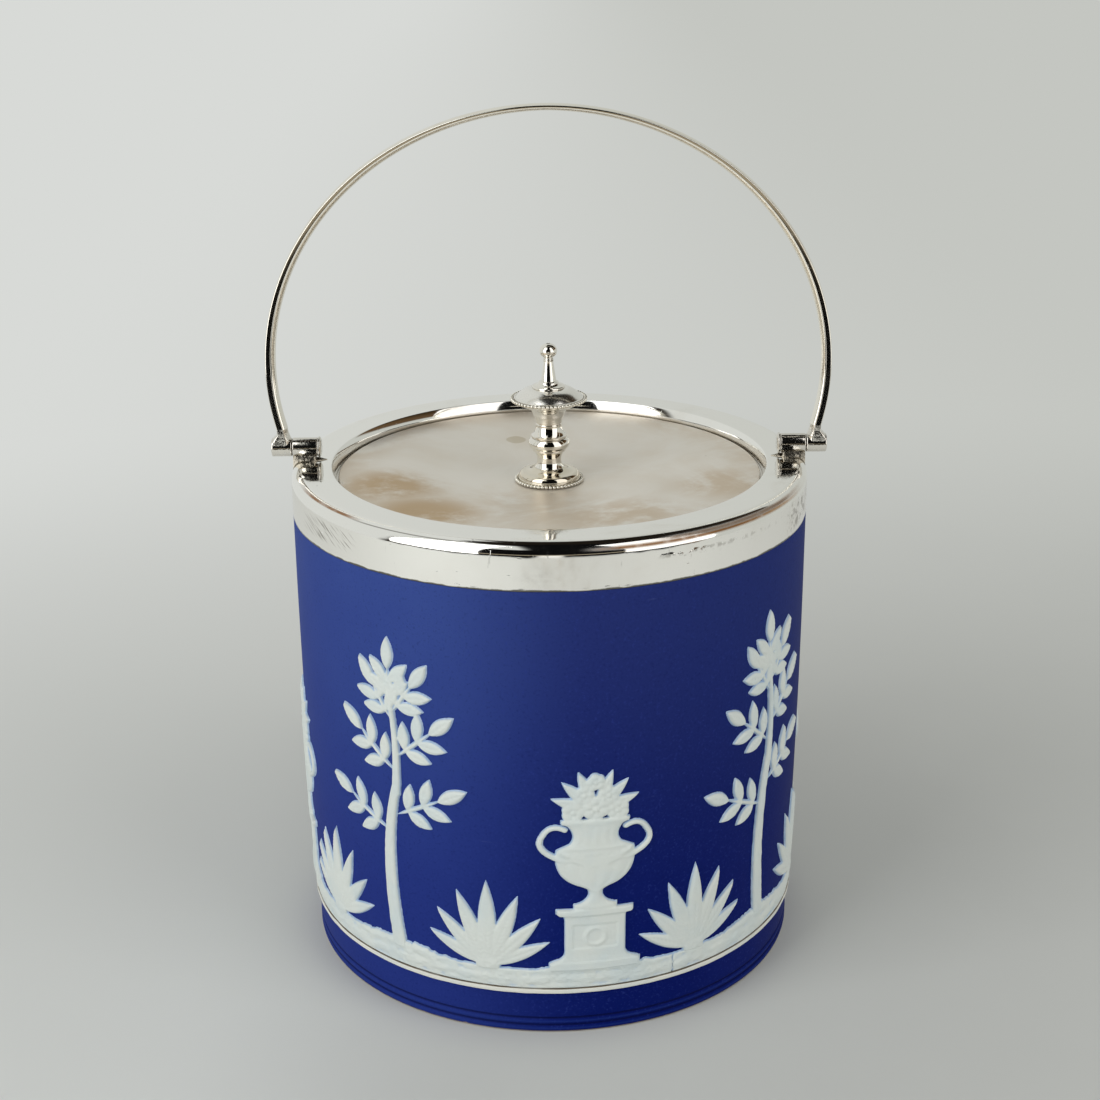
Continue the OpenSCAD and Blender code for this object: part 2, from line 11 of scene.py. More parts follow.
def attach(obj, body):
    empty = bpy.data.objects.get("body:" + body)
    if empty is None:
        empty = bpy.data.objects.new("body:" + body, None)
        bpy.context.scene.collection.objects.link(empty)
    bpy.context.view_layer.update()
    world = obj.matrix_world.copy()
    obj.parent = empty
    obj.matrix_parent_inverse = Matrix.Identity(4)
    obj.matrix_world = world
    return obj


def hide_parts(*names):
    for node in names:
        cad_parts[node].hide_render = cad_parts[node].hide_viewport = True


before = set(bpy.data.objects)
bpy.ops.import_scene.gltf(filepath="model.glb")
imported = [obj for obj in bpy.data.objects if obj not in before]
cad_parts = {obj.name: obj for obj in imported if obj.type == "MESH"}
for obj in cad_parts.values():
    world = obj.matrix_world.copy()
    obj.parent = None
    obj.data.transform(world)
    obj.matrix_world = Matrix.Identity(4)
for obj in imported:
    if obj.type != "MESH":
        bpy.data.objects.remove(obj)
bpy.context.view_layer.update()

MM = 0.001

# ---- Sizes, as in the part's source ----
JAR_R, FOOT_INSET, TAPER_H = 66.0, 1.8, 100.0
LEDGE, RIM = 118.0, 126.0
BORE_R, FLOOR_Z, COVE_R = 60.5, 6.6, 6.0
RECESS, FOOT_RING_W, BEAD_H, BEAD_D = 1.6, 7.0, 2.0, 0.45
NECK_R = 64.6
FILLET_Z, FILLET_TOP, GROUND_Z = 11.6, 13.0, 18.6
GROUND_T, SPRIG_T = 0.9, 1.2
MOUND_H, URN_MOUND_W, TREE_MOUND_W = 2.0, 15.0, 17.0
TREE_K, PLANT_K = 84 / 80, 24 / 25
SPRIGS, FIRST_URN, PLANT_PLACE = 4, -81.0, 0.26
SHEET, COLLAR_TOP, SHOULDER_R = 0.8, 129.6, 3.1
LIP_R, LIP_TOP, LIP_FLARE, LIP_BOTTOM = 54.8, 129.6, 0.9, 125.8
SEAT_R, SKIRT_R = 52.2, 51.7
PLATE_R, PLATE_T, DISH, LID_Z = 54.1, 0.9, 3.1, 123.6
STEM_R, LOW_STEM_R, JOINT_R, BORE_KNOB = 3.3, 3.1, 4.3, 1.26
KNOB_FOOT_R, KNOB_FOOT_H, BEAD_R = 8.0, 3.7, 0.5
LOWER_Z, RING_Z, UPPER_Z, SAUCER_Z, FINIAL_Z = 127.3, 132.3, 135.3, 141.0, 148.3
RING_R, SAUCER_R, SAUCER_H, FINIAL_H, BALL_R = 5.3, 8.9, 7.3, 11.4, 2.25
PIVOT_Z, BARREL_R, BARREL_IN, BARREL_OUT = 133.05, 2.4, 59.4, 65.7
KNUCKLE_IN, KNUCKLE_L, PIN_R, PIN_HEAD_R, PIN_HEAD_T = 65.9, 5.2, 1.2, 2.65, 0.7
KNUCKLE_X = KNUCKLE_IN + KNUCKLE_L / 2
HINGE_GAP, PIN_GAP = 0.2, 0.06
BELLY, BAIL_B, ROOT_H = 20.6, 64.3, 5.2
LUG_L, LUG_W, SADDLE_W = 8.6, 5.2, 2.8

# ---- The strap's section, slimmer than in the source: from its middle line outwards and inwards ----
STRAP_W, STRAP_ROOT_W, STRAP_OUT, STRAP_IN, STRAP_CORNER = 4.2, 4.5, 1.13, 1.69, 0.26


# ---- Curves and noise ----
def arc(c, r, a0, a1, n):
    turns = [math.radians(a0 + (a1 - a0) * i / n) for i in range(n + 1)]
    return [(c[0] + r * math.cos(a), c[1] + r * math.sin(a)) for a in turns]


def curve(p0, p1, p2, n=8):
    """A quadratic curve from p0 to p2 that leaves and arrives on the lines to p1."""
    points = []
    for i in range(n + 1):
        t = i / n
        points.append(tuple((1 - t) ** 2 * a + 2 * t * (1 - t) * b + t * t * c for a, b, c in zip(p0, p1, p2)))
    return points


def wall_r(z):
    """The jar's outer radius, which narrows towards the foot."""
    return JAR_R - FOOT_INSET * np.maximum(0, 1 - np.asarray(z, float) / TAPER_H) ** 2


def smooth(x, lo=0.0, hi=1.0):
    t = np.clip((np.asarray(x, float) - lo) / (hi - lo), 0, 1)
    return t * t * (3 - 2 * t)


def bell(x, width):
    return np.exp(-((x / width) ** 2))


@functools.lru_cache(None)
def noise_table(seed, wrap):
    return np.random.default_rng(seed).uniform(-1, 1, (wrap, 64))


def noise(x, y, cell, seed, wrap=64):
    """Smooth value noise from -1 to 1, with one random value per cell."""
    table = noise_table(seed, wrap)
    x, y = np.asarray(x, float) / cell, np.asarray(y, float) / cell
    i, j = np.floor(x).astype(int), np.floor(y).astype(int)
    u, v = smooth(x - i), smooth(y - j)
    a, b = table[i % wrap, j % 64], table[(i + 1) % wrap, j % 64]
    c, d = table[i % wrap, (j + 1) % 64], table[(i + 1) % wrap, (j + 1) % 64]
    return (a * (1 - u) + b * u) * (1 - v) + (c * (1 - u) + d * u) * v


def ring_noise(a, y, cells, cell, seed):
    """Noise that closes on itself round the Z axis, with so many cells round it."""
    return noise(np.asarray(a, float) / (2 * math.pi) * cells, np.asarray(y, float) / cell, 1.0, seed, cells)


# ---- Materials ----
class Field:
    """A value that varies over a surface. Python's arithmetic on fields adds math nodes."""

    def __init__(self, shader, socket):
        self.shader, self.socket = shader, socket

    def worked(self, operation, other=0.0):
        return self.shader.math(operation, self, other)

    __add__ = functools.partialmethod(worked, "ADD")
    __sub__ = functools.partialmethod(worked, "SUBTRACT")
    __mul__ = functools.partialmethod(worked, "MULTIPLY")
    __truediv__ = functools.partialmethod(worked, "DIVIDE")
    __pow__ = functools.partialmethod(worked, "POWER")
    __abs__ = functools.partialmethod(worked, "ABSOLUTE")


class Shader:
    """The node graph of a material, or of the world if one is given. Noise scales are per metre."""

    def __init__(self, name, world=None):
        self.owner = world or bpy.data.materials.new(name)
        self.owner.use_nodes = True
        self.tree = self.owner.node_tree
        self.tree.nodes.clear()

    def put(self, socket, value):
        if isinstance(value, Field):
            self.tree.links.new(value.socket, socket)
        elif isinstance(value, tuple) and socket.type == "RGBA":
            socket.default_value = value + (1.0,)
        else:
            socket.default_value = value

    def add(self, kind, output=0, settings=None, **inputs):
        """Adds a node and returns one of its outputs. An input goes by its name, or by _ and its number."""
        node = self.tree.nodes.new("ShaderNode" + kind)
        for key, value in (settings or {}).items():
            setattr(node, key, value)
        for key, value in inputs.items():
            self.put(node.inputs[int(key[1:])] if key[0] == "_" else node.inputs[key.replace("_", " ")], value)
        return Field(self, node.outputs[output]) if node.outputs else None

    def math(self, operation, a, b=0.0):
        return self.add("Math", 0, {"operation": operation}, _0=a, _1=b)

    def most(self, *values):
        return functools.reduce(functools.partial(self.math, "MAXIMUM"), values)

    def length(self, x, y):
        return self.math("SQRT", x * x + y * y)

    def ramp(self, value, lo, hi, out_lo=0.0, out_hi=1.0):
        """Eases from out_lo to out_hi while the value goes from lo to hi."""
        return self.add("MapRange", 0, {"interpolation_type": "SMOOTHSTEP"}, Value=value,
                        From_Min=lo, From_Max=hi, To_Min=out_lo, To_Max=out_hi)

    def zone(self, value, lo, hi, soft=0.4):
        """1 between two limits, with soft edges."""
        return self.ramp(value, lo - soft, lo + soft) * self.ramp(value, hi + soft, hi - soft)

    def mix(self, fac, a, b):
        return self.add("MixRGB", Fac=fac, Color1=a, Color2=b)

    def place(self):
        """Object position as a vector in metres."""
        return self.add("TexCoord", "Object")

    def axes(self, vector, unit=None):
        """A vector's x, y and z, in a unit if one is given."""
        parts = [self.add("SeparateXYZ", axis, Vector=vector) for axis in range(3)]
        return [part / unit for part in parts] if unit else parts

    def stretched(self, vector, scale):
        return self.add("Mapping", Vector=vector, Scale=scale)

    def noise(self, vector, scale, detail=3.0, rough=0.55, distortion=0.0):
        return self.add("TexNoise", "Fac", Vector=vector, Scale=scale, Detail=detail, Roughness=rough,
                        Distortion=distortion)

    def turning(self, x, y, scale, detail):
        """The fine rings that a lathe leaves, by a noise with so many cells to the millimetre."""
        return self.noise(self.add("CombineXYZ", X=self.length(x, y)), scale, detail)

    def specks(self, vector, scale, size, rare, channel):
        """Round specks in the few cells whose random value passes rare."""
        near, value = (self.add("TexVoronoi", out, Vector=vector, Scale=scale) for out in ("Distance", "Color"))
        return self.ramp(near, size, 0.4 * size) * self.ramp(self.add("SeparateColor", channel, Color=value), *rare)

    def openness(self, reach, samples=6, local=True):
        """1 in the open and less in hollows, felt over a reach."""
        return self.add("AmbientOcclusion", "AO", {"samples": samples, "only_local": local}, Distance=reach * MM)

    def bump(self, height, depth, strength=1.0, normal=None):
        under = {} if normal is None else {"Normal": normal}
        return self.add("Bump", Height=height, Distance=depth * MM, Strength=strength, **under)

    def ray(self, kind):
        return self.add("LightPath", "Is " + kind + " Ray")

    def out(self, shader):
        self.add("OutputWorld" if isinstance(self.owner, bpy.types.World) else "OutputMaterial", Surface=shader)
        return self.owner

    def surface(self, color, rough, normal, **more):
        return self.out(self.add("BsdfPrincipled", Base_Color=color, Roughness=rough, Normal=normal, **more))


def srgb(r, g, b):
    return tuple(c / 255 / 12.92 if c <= 10.31 else ((c / 255 + 0.055) / 1.055) ** 2.4 for c in (r, g, b))


def jasper_blue():
    s = Shader("jasper_blue")
    v = s.place()
    x, y, z = s.axes(v, MM)
    # the blue is paler towards the top, and painted lighter over the left half, as painted light and sheen from the
    # stronger lamp on that side
    height = s.ramp(z, 20, 125)
    right = s.mix(height, (0.0005, 0.0065, 0.115), (0.018, 0.031, 0.162))
    left = s.mix(height, (0.0160, 0.0330, 0.215), (0.040, 0.073, 0.285))
    # painted light: this mix makes the jar's left lighter and its right darker
    blue = s.mix(s.ramp(x, 12, -34), right, left)
    blue = s.mix(s.ramp(s.noise(v, 26.0, 4.0), 0.35, 0.75, 0.0, 0.20), blue, (0.008, 0.020, 0.180))
    grain = s.noise(v, 1500.0, 2.0)
    blue = s.mix(s.ramp(grain, 0.54, 0.78, 0.0, 0.50), blue, (0.022, 0.040, 0.240))
    blue = s.mix(s.ramp(grain, 0.46, 0.24, 0.0, 0.25), blue, (0.0008, 0.0035, 0.065))
    # dust: sparse pale specks and a few faint scuffs
    blue = s.mix(s.specks(v, 150.0, 0.030, (0.90, 0.97), 0) * 0.75, blue, (0.42, 0.46, 0.55))
    scuff = s.noise(s.stretched(v, (60, 60, 420)), 1.0, 5.0, 0.7)
    blue = s.mix(s.ramp(scuff, 0.66, 0.80, 0.0, 0.12), blue, (0.16, 0.20, 0.36))
    # painted shade in the two turned grooves over the foot, and a painted highlight on the beads between them
    groove_shade = s.most(*(s.ramp(abs(z - k * BEAD_H), 0.50, 0.10) for k in (2, 1)))
    blue = s.mix(groove_shade * 0.62, blue, (0.0006, 0.0015, 0.030))
    bead_highlight = s.ramp(abs(s.math("PINGPONG", z, BEAD_H) - BEAD_H / 2), 0.5, 0.0)
    bead_highlight = bead_highlight * s.ramp(z, 2 * BEAD_H, 2 * BEAD_H - 0.2)
    blue = s.mix(bead_highlight * 0.30, blue, (0.020, 0.050, 0.260))
    # the clay under the dip shows where the foot's edge is worn, and the inside is glazed
    edge = z + s.ramp(s.noise(v, 120.0, 3.0), 0.62, 0.76, 0.0, -0.8)
    worn = s.mix(s.noise(v, 300.0), (0.28, 0.18, 0.09), (0.60, 0.51, 0.38))
    blue = s.mix(s.ramp(edge, 0.34, 0.12, 0.0, 0.8), blue, worn)
    glaze = s.mix(s.ramp(s.noise(v, 60.0, 4.0), 0.4, 0.7), (0.62, 0.60, 0.52), (0.68, 0.66, 0.58))
    inside = s.ramp(s.length(x, y), BORE_R + 1.5, BORE_R + 0.7) * s.ramp(z, 3.0, 4.5)
    normal = s.bump(grain * 0.6 + s.noise(v, 260.0, 4.0), 0.08, 0.55)
    return s.surface(s.mix(inside, blue, glaze), s.ramp(inside, 0.0, 1.0, 0.62, 0.16), normal,
                     Specular_IOR_Level=s.ramp(inside, 0.0, 1.0, 0.05, 0.5))


def jasper_white(name, tint, line=None):
    """White stoneware, bluish where it is thin. The mesh carries its own thickness, from 0 to 1.
    A line of old soiling may run along one height, and painted shade lies in the carving's hollows."""
    s = Shader(name)
    v = s.place()
    thick = s.add("Attribute", "Fac", {"attribute_name": "thick"})
    stain = s.noise(v, 90.0, 4.0)
    body = s.mix(s.ramp(stain, 0.35, 0.75), tint, tuple(c * k for c, k in zip(tint, (0.90, 0.95, 1.0))))
    edge = s.mix(s.ramp(s.noise(v, 400.0), 0.4, 0.65), (0.36, 0.50, 0.70), (0.50, 0.62, 0.78))
    color = s.mix(s.ramp(thick, 0.20, 0.52), edge, body)
    # painted shade in the hollows of the carving
    shade_and_dirt = s.ramp(s.openness(1.4), 0.72, 0.30) * s.ramp(thick, 0.25, 0.5)
    color = s.mix(shade_and_dirt * 0.55, color, (0.27, 0.27, 0.25))
    if line is not None:
        z = s.axes(v, MM)[2]
        # a line of old soiling at the given height
        shade_and_dirt = s.ramp(z, line - 0.24, line - 0.08) * s.ramp(stain, 0.25, 0.5, 0.45, 1.0)
        color = s.mix(shade_and_dirt, color, (0.15, 0.115, 0.075))
    fine = s.noise(v, 900.0, 2.0) + s.noise(v, 220.0, 3.0) * 1.4
    return s.surface(color, 0.58, s.bump(fine, 0.07, 0.5))


def collar_marks(s, v, x, y, z, fine, color):
    """Grime along the collar's hem, copper on its worn shoulder, and knocks and scratches on its front.
    Returns the colour, how metallic it is, and the height of the knocks."""
    low = z + s.ramp(fine, 0.3, 0.7, -0.12, 0.22)
    color = s.mix(s.ramp(low, LEDGE + 0.60, LEDGE + 0.28, 0.0, 0.9), color, (0.055, 0.048, 0.038))
    front = s.ramp(s.length(x, y), 58.5, 59.5) * s.ramp(y, 4, -2)
    # copper shows through along the worn shoulder on the right, and as a thin line on the left
    lower = s.zone(z, 127.5, 128.2, 0.3) * s.zone(x, 10, 60, 5)
    upper = s.zone(z, 128.15, 128.85, 0.25) * s.zone(x, 26, 60, 4)
    line = s.zone(z, 128.9, 129.3, 0.1) * s.zone(x, -60, -46, 3)
    bleed = s.most(lower, line, upper * 0.85) * s.ramp(fine, 0.32, 0.50, 0.70, 1.0) * front
    copper = s.mix(s.ramp(x, 40, 61), (0.26, 0.125, 0.045), (0.40, 0.25, 0.13))
    color = s.mix(bleed, color, s.mix(upper, copper, (0.19, 0.105, 0.048)))
    # painted reflection: a dull grey line high on the left front of the shoulder stands in for the room's thin dark
    # reflection there
    edge = s.zone(z, 128.78, 128.94, 0.08) * s.zone(x, -46, -18, 4)
    color = s.mix(edge * front, color, (0.32, 0.305, 0.28))
    # a row of small knocks, a crumpled right end, slanted scratches on the left, and a smudge in the middle
    spots = s.noise(v, 620.0, 2.0)
    row = s.zone(z, 124.1, 125.0) * (s.ramp(x, 24, 27) * s.ramp(x, 36, 60, 1.0, 0.25))
    crumple = s.zone(z, 119.5, 126.2, 1.0) * s.ramp(x, 57.2, 59.2) * s.ramp(s.noise(v, 260.0, 2.0), 0.36, 0.50)
    slant = s.noise(s.add("CombineXYZ", X=(z + x * 0.9) * 1.5, Y=z * 0.17), 1.0, 2.0)
    lines = s.ramp(slant, 0.52, 0.60) * s.zone(x, -59, -47, 2) * s.zone(z, 121.2, 125.2, 1.0)
    smudge = s.ramp(s.length(x + 3.0, (z - 121.2) * 1.6), 7, 1) * s.ramp(fine, 0.3, 0.6, 0.0, 0.25)
    marks = s.most(row * s.ramp(spots, 0.50, 0.62, 0.0, 0.50), crumple * s.ramp(spots, 0.44, 0.60, 0.0, 0.75),
                   lines, smudge)
    color = s.mix(marks * front * 0.9, color, (0.20, 0.18, 0.145))
    dented = s.most(row * s.ramp(spots, 0.44, 0.58, 0.0, 0.20), crumple * 0.8) * front
    return color, s.ramp(bleed, 0.0, 1.0, 1.0, 0.15), s.noise(v, 480.0, 2.0) * dented


def silver(name, tone, rough=0.085, tarnish=0.5, wear=1.0, spin=0.0, cast=0.0, gaps=0.0, gap_size=0.6,
           polished_under=None, collar=False):
    """Silver plate. spin gives it turning lines, cast roughens it, gaps darkens its fine crevices, and
    polished_under is a height below which it is smooth."""
    s = Shader(name)
    v = s.place()
    x, y, z = s.axes(v, MM)
    fine = s.noise(v, 160.0, 4.0, 0.6)
    stain = s.ramp(s.noise(v, 34.0, 5.0, 0.6, 0.6), 0.50, 0.78) * s.ramp(fine, 0.25, 0.7)
    color = s.mix(stain * tarnish, tone, (0.60, 0.50, 0.36))
    # darker brown in hollows and where nearby parts close the surface in
    hollow_darkening = s.ramp(s.openness(2.2, 4, False), 0.55, 0.12)
    color = s.mix(hollow_darkening * (0.55 * wear), color, (0.17, 0.13, 0.085))
    if gaps:
        # painted shade in the fine crevices, such as the gaps between the beads
        color = s.mix(s.ramp(s.openness(gap_size), 0.80, 0.42, 0.0, gaps), color, (0.035, 0.028, 0.020))
    metal = 1.0
    if collar:
        color, metal, knocks = collar_marks(s, v, x, y, z, fine, color)
    long_marks = s.noise(s.stretched(v, (900, 900, 130)), 1.0, 2.0, 0.7)
    cross_marks = s.noise(s.stretched(v, (120, 700, 900)), 1.0, 2.0, 0.7)
    scratches = s.most(s.ramp(long_marks, 0.66, 0.76), s.ramp(cross_marks, 0.67, 0.77))
    roughness = s.ramp(stain, 0.0, 1.0, rough, rough + 0.16) + scratches * (0.10 * wear)
    if polished_under is not None:
        roughness = roughness * s.ramp(z, polished_under, polished_under + 0.3, 0.3, 1.0)
    normal = s.bump(s.noise(v, 70.0, 2.0) + scratches * (-0.12 * wear), 0.16, 0.30)
    if spin:
        normal = s.bump(s.turning(x, y, 4.2, 2.0), 0.012, spin, normal)
    if cast:
        grain = s.noise(v, 1100.0, 3.0, 0.65) + s.noise(v, 420.0, 2.0) * 1.6
        normal = s.bump(grain, 0.12, cast, normal)
    if collar:
        normal = s.bump(knocks, 0.7, 0.35, normal)
    return s.surface(color, roughness, normal, Metallic=metal)


def lid_silver():
    """The lid's plate is duller, warm, with brown tarnish near its left front and its right."""
    s = Shader("lid_plate_silver")
    v = s.place()
    x, y, _ = s.axes(v, MM)
    big = s.noise(v, 30.0, 5.0, 0.62, 1.0)
    fine = s.noise(v, 210.0, 4.0, 0.65)
    color = s.mix(s.ramp(big, 0.35, 0.70), (0.81, 0.775, 0.705), (0.77, 0.715, 0.625))
    # round patches of tarnish (x, y, size, strength), and a faint ring of it along the rim
    patches = ((-40, -13, 19, 1), (-30, -34, 21, 1), (16, -36, 23, 0.6), (44, -13, 18, 0.6), (-4, -26, 30, 0.35))
    brown = s.most(*(s.ramp(s.length(x - cx, y - cy), size, size / 4) * depth for cx, cy, size, depth in patches),
                   s.ramp(s.length(x, y), 40, 54) * 0.35)
    color = s.mix(brown * s.ramp(big + fine * 0.5, 0.54, 0.84), color, (0.53, 0.375, 0.205))
    # a leaf-shaped water mark behind the knob's left side
    leaf = (abs(x + 9.0) / 2.7) ** 1.5 + (abs(y - 30.3) / 2.5) ** 2.0
    color = s.mix(s.ramp(leaf, 1.15, 0.85, 0.0, 0.55), color, (0.50, 0.42, 0.27))
    color = s.mix(s.specks(v, 95.0, 0.05, (0.90, 0.96), 1) * 0.5, color, (0.25, 0.18, 0.10))
    normal = s.bump(s.noise(v, 45.0, 2.0), 0.30, 0.35)
    normal = s.bump(s.turning(x, y, 3.8, 3.0), 0.014, 0.4, normal)
    wipe = s.noise(s.stretched(v, (40, 500, 40)), 1.0, 3.0, 0.7)
    rough = s.ramp(big, 0.3, 0.8, 0.32, 0.42) + s.ramp(wipe, 0.5, 0.8, 0.0, 0.04)
    # a dull film over the plate scatters part of the light
    return s.surface(color, rough, normal, Metallic=0.45)


def plain_metal():
    s = Shader("pin_steel")
    v = s.place()
    worn = s.noise(v, 240.0, 4.0)
    color = s.mix(s.ramp(worn, 0.4, 0.7), (0.62, 0.60, 0.55), (0.40, 0.35, 0.27))
    normal = s.bump(s.noise(v, 900.0, 3.0), 0.02, 0.6)
    return s.surface(color, s.ramp(worn, 0.3, 0.7, 0.18, 0.38), normal, Metallic=1.0)


def plaster():
    s = Shader("plaster")
    lumps = s.noise(s.place(), 500.0, 5.0)
    color = s.mix(s.ramp(lumps, 0.35, 0.7), (0.62, 0.55, 0.44), (0.78, 0.74, 0.66))
    return s.surface(color, 0.9, s.bump(lumps, 0.2, 0.7))


BLUE = jasper_blue()
WHITE = jasper_white("jasper_white", (0.70, 0.745, 0.715))
CREAM = jasper_white("jasper_fillet", (0.79, 0.785, 0.72), FILLET_TOP)
STRAP = silver("silver_strap", (0.91, 0.875, 0.79), tarnish=0.7)
COLLAR = silver("silver_collar", (0.955, 0.945, 0.905), tarnish=0.35, rough=0.06, wear=1.2, collar=True)
KNOB = silver("silver_knob", (0.90, 0.87, 0.80), rough=0.045, spin=0.4, gaps=0.85, gap_size=1.3)
WORN = silver("silver_worn", (0.90, 0.88, 0.83), rough=0.19, tarnish=0.25, wear=1.2, spin=0.5, gaps=0.4,
              polished_under=144.8)
FOOT = silver("silver_knob_foot", (0.80, 0.74, 0.62), rough=0.07, tarnish=0.6, wear=1.4, spin=0.5, gaps=0.6)
BEADS = silver("silver_beads", (0.92, 0.89, 0.80), rough=0.10, tarnish=0.3, gaps=0.95)
CAST = silver("silver_cast", (0.76, 0.73, 0.67), rough=0.10, tarnish=0.7, wear=1.8, cast=0.35)
LUG = silver("silver_lug", (0.38, 0.35, 0.29), rough=0.26, tarnish=0.8, wear=1.8, cast=0.9)
LID = lid_silver()
STEEL = plain_metal()
PLASTER = plaster()


# ---- Meshes ----
def add_piece(name, points, faces, material, body, nodes=(), sharp=32.0, thick=None):
    mesh = bpy.data.meshes.new(name)
    mesh.from_pydata((np.asarray(points, float) * MM).tolist(), [], faces)
    mesh.validate()
    mesh.shade_smooth()
    mesh.set_sharp_from_angle(angle=math.radians(sharp))
    mesh.materials.append(material)
    if thick is not None:
        layer = mesh.attributes.new("thick", "FLOAT", "POINT")
        layer.data.foreach_set("value", np.asarray(thick, np.float32))
    piece = bpy.data.objects.new(name, mesh)
    bpy.context.scene.collection.objects.link(piece)
    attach(piece, body)
    if nodes:
        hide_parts(*nodes)
    return piece


def soften(profile, size, closed=True, n=4):
    """Rounds each sharp corner of an outline off the axis."""
    result = []
    count = len(profile)
    for i, b in enumerate(profile):
        a, c = profile[i - 1], profile[(i + 1) % count]
        if b[0] < 1e-6 or (not closed and i in (0, count - 1)):
            result.append(b)
            continue
        ba = (a[0] - b[0], a[1] - b[1])
        bc = (c[0] - b[0], c[1] - b[1])
        la, lc = math.hypot(*ba), math.hypot(*bc)
        turn = math.degrees(math.acos(max(-1, min(1, (ba[0] * bc[0] + ba[1] * bc[1]) / (la * lc)))))
        if turn > 152:
            result.append(b)
            continue
        cut = min(size, 0.42 * la, 0.42 * lc)
        p0 = (b[0] + ba[0] / la * cut, b[1] + ba[1] / la * cut)
        p2 = (b[0] + bc[0] / lc * cut, b[1] + bc[1] / lc * cut)
        result += curve(p0, b, p2, n)
    return result


def spun(profile, steps, dent=None, closed=True):
    """Points and faces of an outline turned round the Z axis. dent(angle, r, z) moves a point outwards."""
    points, rows, faces = [], [], []
    for r, z in profile:
        if r < 1e-6:
            rows.append([len(points)] * steps)
            points.append((0.0, 0.0, z))
            continue
        rows.append(list(range(len(points), len(points) + steps)))
        for k in range(steps):
            a = 2 * math.pi * k / steps
            rr, zz = (r, z) if dent is None else dent(a, r, z)
            points.append((rr * math.cos(a), rr * math.sin(a), zz))
    last = len(rows) if closed else len(rows) - 1
    for i in range(last):
        lo, hi = rows[i], rows[(i + 1) % len(rows)]
        if lo[0] == lo[1] and hi[0] == hi[1]:
            continue
        for k in range(steps):
            m = (k + 1) % steps
            quad = [lo[k], lo[m], hi[m], hi[k]]
            face = [q for j, q in enumerate(quad) if q not in quad[:j]]
            faces.append(face)
    return points, faces


def tube(sections, facing):
    """Joins closed sections in a row and shuts both ends. A facing of -1 turns the faces over."""
    rings, sides = len(sections) - 1, len(sections[0])
    faces = []
    for i in range(rings):
        for k in range(sides):
            m = (k + 1) % sides
            faces.append([i * sides + k, i * sides + m, (i + 1) * sides + m, (i + 1) * sides + k][::facing])
    faces.append(list(range(sides))[::-facing])
    faces.append(list(range(rings * sides, (rings + 1) * sides))[::facing])
    return [point for section in sections for point in section], faces


def join(*parts):
    points, faces = [], []
    for p, f in parts:
        base = len(points)
        points += list(p)
        faces += [[q + base for q in face] for face in f]
    return points, faces


def along_x(points, side):
    """Turns a shape made round Z so that Z points along X, at the pivots' height. side is -1 or 1."""
    return [(side * p[2], p[1] * side, PIVOT_Z + p[0]) for p in points]


def turned(name, profile, body, material, nodes, steps=192, size=0.16, dent=None, sharp=32.0, side=0):
    """Adds an outline turned round Z, or round the pivots' axis if a side is given."""
    points, faces = spun(soften(profile, size), steps, dent)
    return add_piece(name, along_x(points, side) if side else points, faces, material, body, nodes, sharp)


# ---- Jar ----
def foot_bead(z):
    r = float(wall_r(2 * BEAD_H))
    return curve((r - BEAD_D / 2, z), (r + BEAD_D, z + BEAD_H / 2), (r - BEAD_D / 2, z + BEAD_H), 10)


def jar_piece():
    r0 = float(wall_r(0)) - FOOT_RING_W
    heights = [2 * BEAD_H + 0.35] + list(np.linspace(6, LEDGE, 60))
    profile = [(0, RECESS), (r0 - 1, RECESS), (r0, 0)] + foot_bead(0) + foot_bead(BEAD_H)[1:]
    profile += [(float(wall_r(z)), float(z)) for z in heights]
    profile += [(NECK_R, LEDGE), (NECK_R, RIM - 1), (NECK_R - 1, RIM), (BORE_R + 1, RIM), (BORE_R, RIM - 1)]
    profile += arc((BORE_R - FOOT_INSET - COVE_R, FLOOR_Z + COVE_R), COVE_R, 0, -90, 14) + [(0, FLOOR_Z)]

    def thrown(a, r, z):
        if 4.2 < z < LEDGE - 0.5 and r > 62.5:
            r += 0.035 * float(ring_noise(a, z, 30, 14, 5))
        return r, z

    turned("jar_wall", profile, "jar", BLUE, ["jar_body"], 360, 0.25, thrown)


# ---- Relief, carved as heights above the wall ----
STEP = 0.24
BARE, SIDE = -0.5, -0.4  # height where nothing is carved, and depth to which the side of an outline is kept
SIDE_SUNK, BACK_SUNK = 0.16, 0.42  # how deep in the wall the sides and the back of a carving end


def rise(d, base=0.5, edge=0.24):
    """Height at a depth d inside an outline: a steep side, then a flat."""
    return base * np.clip(d / edge, -1.0, 1.0)


def dome(share):
    """Height of a round top, 1 in the middle, at a share of the way to its edge."""
    return np.sqrt(np.clip(1 - share, 0, 1))


